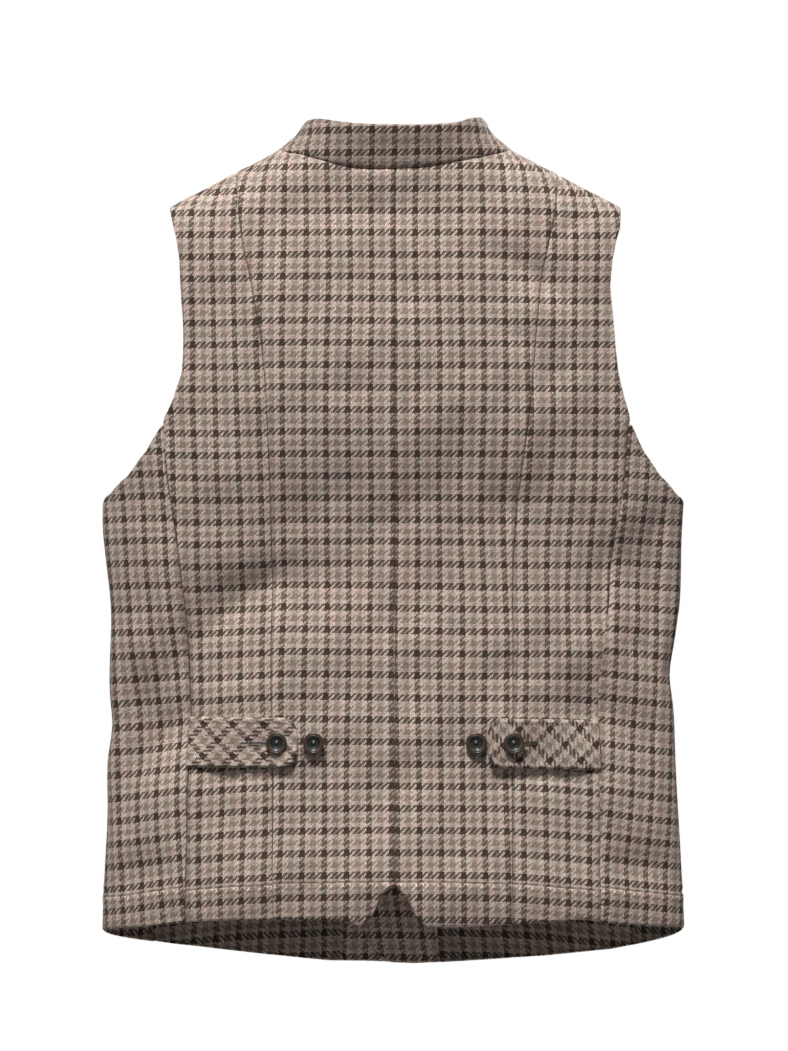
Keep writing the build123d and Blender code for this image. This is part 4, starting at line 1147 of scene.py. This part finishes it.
def gather(name, parts, mat, smooth_it=True):
    verts, faces, base = [], [], 0
    for vs, fs in parts:
        verts.append(vs)
        faces += [tuple(i + base for i in f) for f in fs]
        base += len(vs)
    mesh = bpy.data.meshes.new(name)
    mesh.from_pydata((np.concatenate(verts) / 1000).tolist(), [], faces)
    mesh.polygons.foreach_set("use_smooth", np.full(len(mesh.polygons), smooth_it))
    mesh.validate()
    ob = bpy.data.objects.new(name, mesh)
    scene.collection.objects.link(ob)
    mesh.materials.append(mat)
    return ob


def on_cloth(x, z, off=0.0, front=False, under=False):
    x, z = np.atleast_1d(np.asarray(x, float)), np.atleast_1d(np.asarray(z, float))
    phi = angle_of(x, z, front)
    return surface(phi, z, off, under), normal(phi, z)


# ------------------------------------------------------------------ tabs
TAB = {}
for side in ("left", "right"):
    sg = 1 if side == "left" else -1
    root_x, tip_x = (176.5, 81.6) if sg > 0 else (173.9, 77.6)
    mid = lambda t, s=sg: -502.2 - (0.0 if s > 0 else 2.6) * (t - 80) / 96
    half_w, r = 21.2, 15.0 if sg > 0 else 14.0
    length = root_x - tip_x

    def tab_grid(inset, root_x=root_x, length=length, half_w=half_w, r=r, mid=mid, sg=sg):
        u = np.concatenate([np.linspace(0, length - r, 34)[:-1], length - r + (r - inset) * np.sin(np.linspace(0, math.pi / 2, 26))])
        uu = np.clip((u - (length - r)) / (r - inset), 0, 1)
        w = (half_w - inset) * (1 - uu**2.6) ** (1 / 2.6)
        w = np.maximum(w, 0.25)
        v = np.sin(np.linspace(-math.pi / 2, math.pi / 2, 33)) * 0.35 + np.linspace(-1, 1, 33) * 0.65
        xx = root_x - u[None, :] + 0 * v[:, None]
        zz = mid(xx) + v[:, None] * w[None, :]
        return xx, zz, u, v, w

    for kind, inset, lift0, t_out, t_in in (("tab", 0.0, 1.9, 0.0, 1.7), ("tab_underside", 1.1, 0.6, 0.0, 1.1)):
        xx, zz, u, v, w = tab_grid(inset)
        base, n = on_cloth(sg * xx.ravel(), zz.ravel())
        base, n = base.reshape(xx.shape + (3,)), n.reshape(xx.shape + (3,))
        # the tab stands off the cloth, further towards its nose, and dips under the button
        k = (root_x - xx) / length
        lift = lift0 + 1.1 * smooth(k / 0.35) + (1.6 if sg > 0 else 2.3) * smooth((k - 0.55) / 0.45) - 0.8 * bell(xx - 99.4, 9) * bell(zz + 502.4, 10)
        if kind == "tab":
            lift = lift + 0.25
        edge_d = np.minimum((1 - np.abs(v))[:, None] * w[None, :], length - u[None, :])
        edge_d = np.minimum(edge_d, np.minimum((1 - np.abs(v))[:, None] * w[None, :] + 0 * edge_d, 99))
        rr = 2.4
        tt = np.clip(1 - edge_d / rr, 0, 1)
        roll = -(2.3 if kind == "tab" else 0.3) * (1 - np.sqrt(np.clip(1 - tt * tt, 0, 1)))
        ridge = (0.45 * bell(edge_d - 2.6, 1.6) - 0.4 * bell(edge_d - 5.4, 0.9)) if kind == "tab" else 0
        ripple = 0.25 * noise(sg * xx, zz, 21, 12)
        P3 = base + n * (lift + roll + ridge + ripple)[..., None]
        uv = np.stack([sg * (root_x - xx) * -1.0, zz + 502], -1)
        ob = grid_mesh(f"{kind}_{side}_tweed", P3, uv, flip=sg > 0)
        # face the outward way
        ob.data.update()
        nm = np.array([pl.normal for pl in ob.data.polygons])
        if nm[:, 1].mean() < 0:
            ob.data.flip_normals()
        thicken(ob, t_in)
        declare(ob, P3, uv, "folded", (f"back_side_{side}_tweed",) if kind == "tab_underside" else (f"tab_underside_{side}_tweed",))
        keepers(f"{kind}_{side}", ob, "tweed_bias", body=f"adjuster_{side}", nodes=(f"{kind}_{side}",), mat=TWEED_TAB_L if sg > 0 else TWEED_TAB_R_PAINTED_SHADE)
    TAB[side] = 4.3


def tab_top(x, z, sg, extra=0.0):
    """Outer face of the tab at a place well inside its edges."""
    root_x, tip_x = (176.5, 81.6) if sg > 0 else (173.9, 77.6)
    p, n = on_cloth(sg * np.atleast_1d(x), np.atleast_1d(z))
    k = (root_x - np.atleast_1d(x)) / (root_x - tip_x)
    lift = 2.15 + 1.1 * smooth(k / 0.35) + (1.6 if sg > 0 else 2.3) * smooth((k - 0.55) / 0.45) - 0.8 * bell(np.atleast_1d(x) - 99.4, 9) * bell(np.atleast_1d(z) + 502.4, 10)
    return p + n * (lift + extra)[..., None], n


def worked_hole(place, x0, x1, z0, name_seed, light, dark, half=1.5):
    """Stitches round a slit: uprights side by side and a purl along both lips."""
    r = np.random.default_rng(name_seed)
    pale, deep = [], []
    xs = np.arange(min(x0, x1), max(x0, x1), 0.62)
    for row in (1, -1):
        for xx in xs:
            a = place(np.full(5, xx) + r.normal(0, 0.07, 5).cumsum() * 0.3, z0 + row * np.linspace(0.25, half + r.normal(0, 0.12), 5), 0)
            a = a + np.array([0, 1.0, 0]) * 0  # lies on the cloth
            lift = place(np.full(5, xx), z0 + row * np.linspace(0.25, half, 5), 1)
            h = np.array([0.15, 0.42, 0.5, 0.4, 0.02])[:, None]
            (pale if r.random() < light else deep).append(tube(a + lift * h, 0.27, 5))
    slit = place(np.linspace(x0, x1, 30), z0 + 0 * np.linspace(x0, x1, 30), 0)
    n = place(np.linspace(x0, x1, 30), z0 + 0 * np.linspace(x0, x1, 30), 1)
    deep.append(tube(slit + n * 0.12, 0.34, 6))
    for end in (x0, x1):
        zz = z0 + np.linspace(-half, half, 9)
        a = place(np.full(9, end), zz, 0) + place(np.full(9, end), zz, 1) * 0.45
        pale.append(tube(a, 0.4, 6))
    return pale, deep


THREAD_PALE = thread("buttonhole_thread", (0.30, 0.29, 0.27, 1))
for side in ("left", "right"):
    sg = 1 if side == "left" else -1

    def place(x, z, what, sg=sg):
        p, n = tab_top(x, z, sg)
        return p if what == 0 else n

    hi = 123.5 if sg > 0 else 119.5
    pale, deep = worked_hole(place, 97.0, hi, -502.6, 5 if sg > 0 else 6, 0.75 if sg > 0 else 0.2, 0, half=2.0)
    ob = gather(f"tab_buttonhole_{side}_stitches", pale + deep if sg < 0 else pale, THREAD_PALE if sg > 0 else THREAD_DARK)
    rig.slot(ob, "thread")
    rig.ride(ob, f"adjuster_{side}")
    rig.replaces(ob, f"tab_buttonhole_{side}")
    if sg > 0:
        ob = gather(f"tab_buttonhole_{side}_slit", deep, THREAD_DARK)
        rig.slot(ob, "thread")
        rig.ride(ob, f"adjuster_{side}")

# front buttonholes
pale, deep = [], []
for level in (-96, -178, -260, -342, -424, -506, -588):
    def place(x, z, what):
        p, n = on_cloth(x, z, 0.1, True)
        return p if what == 0 else n
    a, b = worked_hole(place, -15.5, 9.5, level, 40 - int(level), 0.5, 0, half=1.9)
    pale, deep = pale + a, deep + b
ob = gather("front_buttonholes_stitches", pale, THREAD)
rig.slot(ob, "thread")
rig.ride(ob, "front_left")
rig.replaces(ob, "front_buttonholes")
ob = gather("front_buttonholes_slits", deep, THREAD_DARK)
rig.slot(ob, "thread")
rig.ride(ob, "front_left")


# ------------------------------------------------------------------ buttons
PROFILE = np.array([(0.0, 2.75), (0.7, 2.68), (1.4, 2.3), (2.0, 1.75), (2.6, 1.5), (3.2, 1.62), (3.7, 1.8), (4.3, 1.75), (4.9, 1.95),
                    (5.5, 2.5), (5.95, 3.05), (6.4, 3.35), (6.85, 3.3), (7.2, 3.15), (7.6, 3.35), (8.1, 3.45), (8.5, 3.25), (8.85, 2.8),
                    (9.0, 2.2), (8.95, 1.6), (8.6, 0.95), (7.9, 0.5), (6.6, 0.28), (4.6, 0.2), (2.2, 0.2), (0.0, 0.2)])


def button(name, centre, axis, body, scale=1.0, seed=1):
    """Moulded button with a rolled rim, a raised ring and a stepped bowl; its head starts at centre."""
    r = np.random.default_rng(seed)
    t = np.arange(len(PROFILE))
    tt = np.linspace(0, len(PROFILE) - 1, 76)
    rad, hgt = cubic(t, PROFILE[:, 0])(tt), cubic(t, PROFILE[:, 1])(tt)
    rad = np.clip(rad, 0, None)
    rad[0] = rad[-1] = 0.02
    seg = 72
    ang = np.linspace(0, 2 * math.pi, seg, endpoint=False)
    axis = Vector(axis).normalized()
    e1 = Vector((0, 0, 1)).cross(axis).normalized()
    e2 = axis.cross(e1)
    wob = 1 + 0.006 * np.sin(2 * ang + r.uniform(0, 6)) + 0.004 * np.sin(3 * ang + r.uniform(0, 6))
    R3 = rad[:, None] * wob[None, :] * scale
    e1, e2, ax, c = map(np.array, (e1, e2, axis, centre))
    p = c + R3[..., None] * (np.cos(ang)[None, :, None] * e1 + np.sin(ang)[None, :, None] * e2) + (hgt[:, None, None] * scale) * ax
    n = len(tt)
    idx = np.arange(n * seg).reshape(n, seg)
    faces = [(int(idx[i, k]), int(idx[i, (k + 1) % seg]), int(idx[i + 1, (k + 1) % seg]), int(idx[i + 1, k])) for i in range(n - 1) for k in range(seg)]
    faces += [tuple(int(q) for q in idx[0][::-1]), tuple(int(q) for q in idx[-1])]
    mesh = bpy.data.meshes.new(name)
    mesh.from_pydata((p.reshape(-1, 3) / 1000).tolist(), [], faces)
    mesh.update()
    layer = mesh.uv_layers.new(name="weave")
    loops = np.empty(len(mesh.loops), np.int32)
    mesh.loops.foreach_get("vertex_index", loops)
    rr = np.repeat(rad / 9.0 / 10.0, seg)
    # the underside keeps the rim's colour
    rr[idx[18 * n // 26:].ravel()] = np.maximum(rr[idx[18 * n // 26:].ravel()], 0.085)
    layer.data.foreach_set("uv", np.stack([rr[loops], 0 * rr[loops]], -1).astype(np.float32).ravel())
    mesh.polygons.foreach_set("use_smooth", np.ones(len(mesh.polygons), bool))
    ob = bpy.data.objects.new(name, mesh)
    scene.collection.objects.link(ob)
    probe = Vector(np.array(mesh.polygons[5].normal))
    if probe.dot(axis) < 0:
        mesh.flip_normals()
    mesh.materials.append(HORN)
    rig.slot(ob, "button")
    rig.ride(ob, body)
    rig.replaces(ob, body)
    return ob


def winding(base, axis, length, radius=1.5, turns=7):
    """Thread wound into a shank between cloth and button."""
    axis = Vector(axis).normalized()
    e1 = Vector((0, 0, 1)).cross(axis).normalized()
    e2 = axis.cross(e1)
    t = np.linspace(0, 1, turns * 14)
    a = 2 * math.pi * turns * t
    rr = radius * (1 - 0.16 * np.sin(math.pi * t))
    p = np.array(base) + (np.cos(a) * rr)[:, None] * np.array(e1) + (np.sin(a) * rr)[:, None] * np.array(e2) + (t * length)[:, None] * np.array(axis)
    core = np.array(base) + np.linspace(-0.6, 1.05, 6)[:, None] * length * np.array(axis)
    return [tube(p, radius * 0.3, 6), tube(core, radius * 0.86, 12, taper=False)]


shanks = []
for side in ("left", "right"):
    sg = 1 if side == "left" else -1
    ax = (sg * 0.0877, 0.9962, 0)
    p, n = tab_top(99.4, -502.4, sg)
    c = p[0] + np.array(ax) * 0.7
    button(f"rear_button_{side}_outer_horn", c, ax, f"rear_button_{side}_outer", seed=3 + sg)
    q, _ = on_cloth(sg * 99.4, -502.4)
    shanks += winding(q[0], ax, float(np.linalg.norm(c - q[0])), 1.5)
    ax = (sg * 0.0536, 0.9986, 0)
    q, _ = on_cloth(sg * 68.3, -502.4)
    c = q[0] + np.array(ax) * 2.3
    button(f"rear_button_{side}_inner_horn", c, ax, f"rear_button_{side}_inner", seed=13 + sg)
    shanks += winding(q[0], ax, 2.5, 1.5)
ob = gather("rear_button_shanks_thread", shanks, THREAD_DARK)
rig.slot(ob, "thread")
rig.ride(ob, "root")
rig.replaces(ob, "rear_button_shanks")
shanks = []
for k, level in enumerate((-96, -178, -260, -342, -424, -506, -588)):
    q, _ = on_cloth(0.0, level, 0, True)
    c = q[0] + np.array((0, -1.0, 0)) * 1.0
    button(f"front_button_{k + 1}_horn", c, (0, -1, 0), f"front_button_{k + 1}", seed=20 + k)
    q2, _ = on_cloth(0.0, level, 0, True, True)
    shanks += winding(q2[0], (0, -1, 0), float(q2[0][1] - c[1]) + 0.2, 1.5)
ob = gather("front_button_shanks_thread", shanks, THREAD_DARK)
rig.slot(ob, "thread")
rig.ride(ob, "front_right")
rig.replaces(ob, "front_button_shanks")

# ------------------------------------------------------------------ hem stitching: small stitches set in the groove, their pale colour a painted highlight
HEM_THREAD_PAINTED_HIGHLIGHT = thread("hem_thread", (0.52, 0.45, 0.38, 1))
parts = []
xx = -172.0
while xx < 174:
    ln = rng.uniform(2.2, 3.2)
    if abs(xx) > 3 and rng.random() < 0.82:
        t = np.linspace(0, 1, 5)
        xs = xx + t * ln
        zs = HEM_LINE(xs) + rng.normal(0, 0.12)
        q, n = on_cloth(xs, zs)
        parts.append(tube(q + n * (-0.55 + 0.45 * np.sin(math.pi * t) - 0.1)[:, None], 0.26, 6))
    xx += ln + rng.uniform(0.8, 1.4)
ob = gather("back_hem_stitches", parts, HEM_THREAD_PAINTED_HIGHLIGHT)
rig.slot(ob, "thread")
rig.ride(ob, "root")

# ------------------------------------------------------------------ lights and stage
def area(name, place, aim, size, power, colour=(1, 1, 1), spread=180, size_y=None):
    data = bpy.data.lights.new(name, "AREA")
    data.energy, data.color = power, colour
    data.shape = "RECTANGLE"
    data.size, data.size_y = size, size_y or size
    data.spread = math.radians(spread)
    ob = bpy.data.objects.new(name, data)
    scene.collection.objects.link(ob)
    ob.location = place
    ob.rotation_euler = (Vector(aim) - Vector(place)).to_track_quat("-Z", "Y").to_euler()
    return ob


area("key", (0.40, 1.95, 3.15), (0.0, 0.0, -0.46), 0.8, 8.8, spread=34)
area("fill", (0.3, 3.2, -0.2), (0, 0, -0.33), 1.6, 2)
area("front_fill", (-0.6, -2.6, 0.9), (0, 0, -0.33), 1.8, 60)
world = bpy.data.worlds.new("studio")
scene.world = world
world.use_nodes = True
wn = world.node_tree
wn.nodes.clear()
wo = wn.nodes.new("ShaderNodeOutputWorld")
soft = wn.nodes.new("ShaderNodeBackground")
soft.inputs[0].default_value, soft.inputs[1].default_value = (1, 1, 1, 1), 0.13
bright = wn.nodes.new("ShaderNodeBackground")
bright.inputs[0].default_value, bright.inputs[1].default_value = (1, 1, 1, 1), 1.0
path = wn.nodes.new("ShaderNodeLightPath")
mixer = wn.nodes.new("ShaderNodeMixShader")
wn.links.new(path.outputs["Is Camera Ray"], mixer.inputs[0])
wn.links.new(soft.outputs[0], mixer.inputs[1])
wn.links.new(bright.outputs[0], mixer.inputs[2])
wn.links.new(mixer.outputs[0], wo.inputs[0])

bpy.ops.mesh.primitive_circle_add(vertices=96, radius=5.0, fill_type="NGON", location=(0, 0, -1.45))
floor = bpy.context.object
floor.name = "floor"
fm, fnt, fb = new_material("pale_floor")
fb.inputs["Base Color"].default_value = (0.5, 0.5, 0.49, 1)
fb.inputs["Roughness"].default_value = 0.85
glow = fnt.nodes.new("ShaderNodeEmission")
glow.inputs[0].default_value, glow.inputs[1].default_value = (0.86, 0.86, 0.85, 1), 1.0
seen = fnt.nodes.new("ShaderNodeLightPath")
pick = fnt.nodes.new("ShaderNodeMixShader")
half_seen = fnt.nodes.new("ShaderNodeMath")
half_seen.operation = "MULTIPLY"
half_seen.inputs[1].default_value = 0.9
fnt.links.new(seen.outputs["Is Camera Ray"], half_seen.inputs[0])
fnt.links.new(half_seen.outputs[0], pick.inputs[0])
fnt.links.new(fb.outputs[0], pick.inputs[1])
fnt.links.new(glow.outputs[0], pick.inputs[2])
fnt.links.new(pick.outputs[0], fnt.nodes["Material Output"].inputs["Surface"])
floor.data.materials.append(fm)
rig.stage(floor)

size = {"cad": [list(map(float, cad_lo)), list(map(float, cad_hi))], "visual": [list(map(float, v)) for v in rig.bounds()]}
try:
    with open("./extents.json", "w") as f:
        json.dump(size, f)
except OSError:
    pass
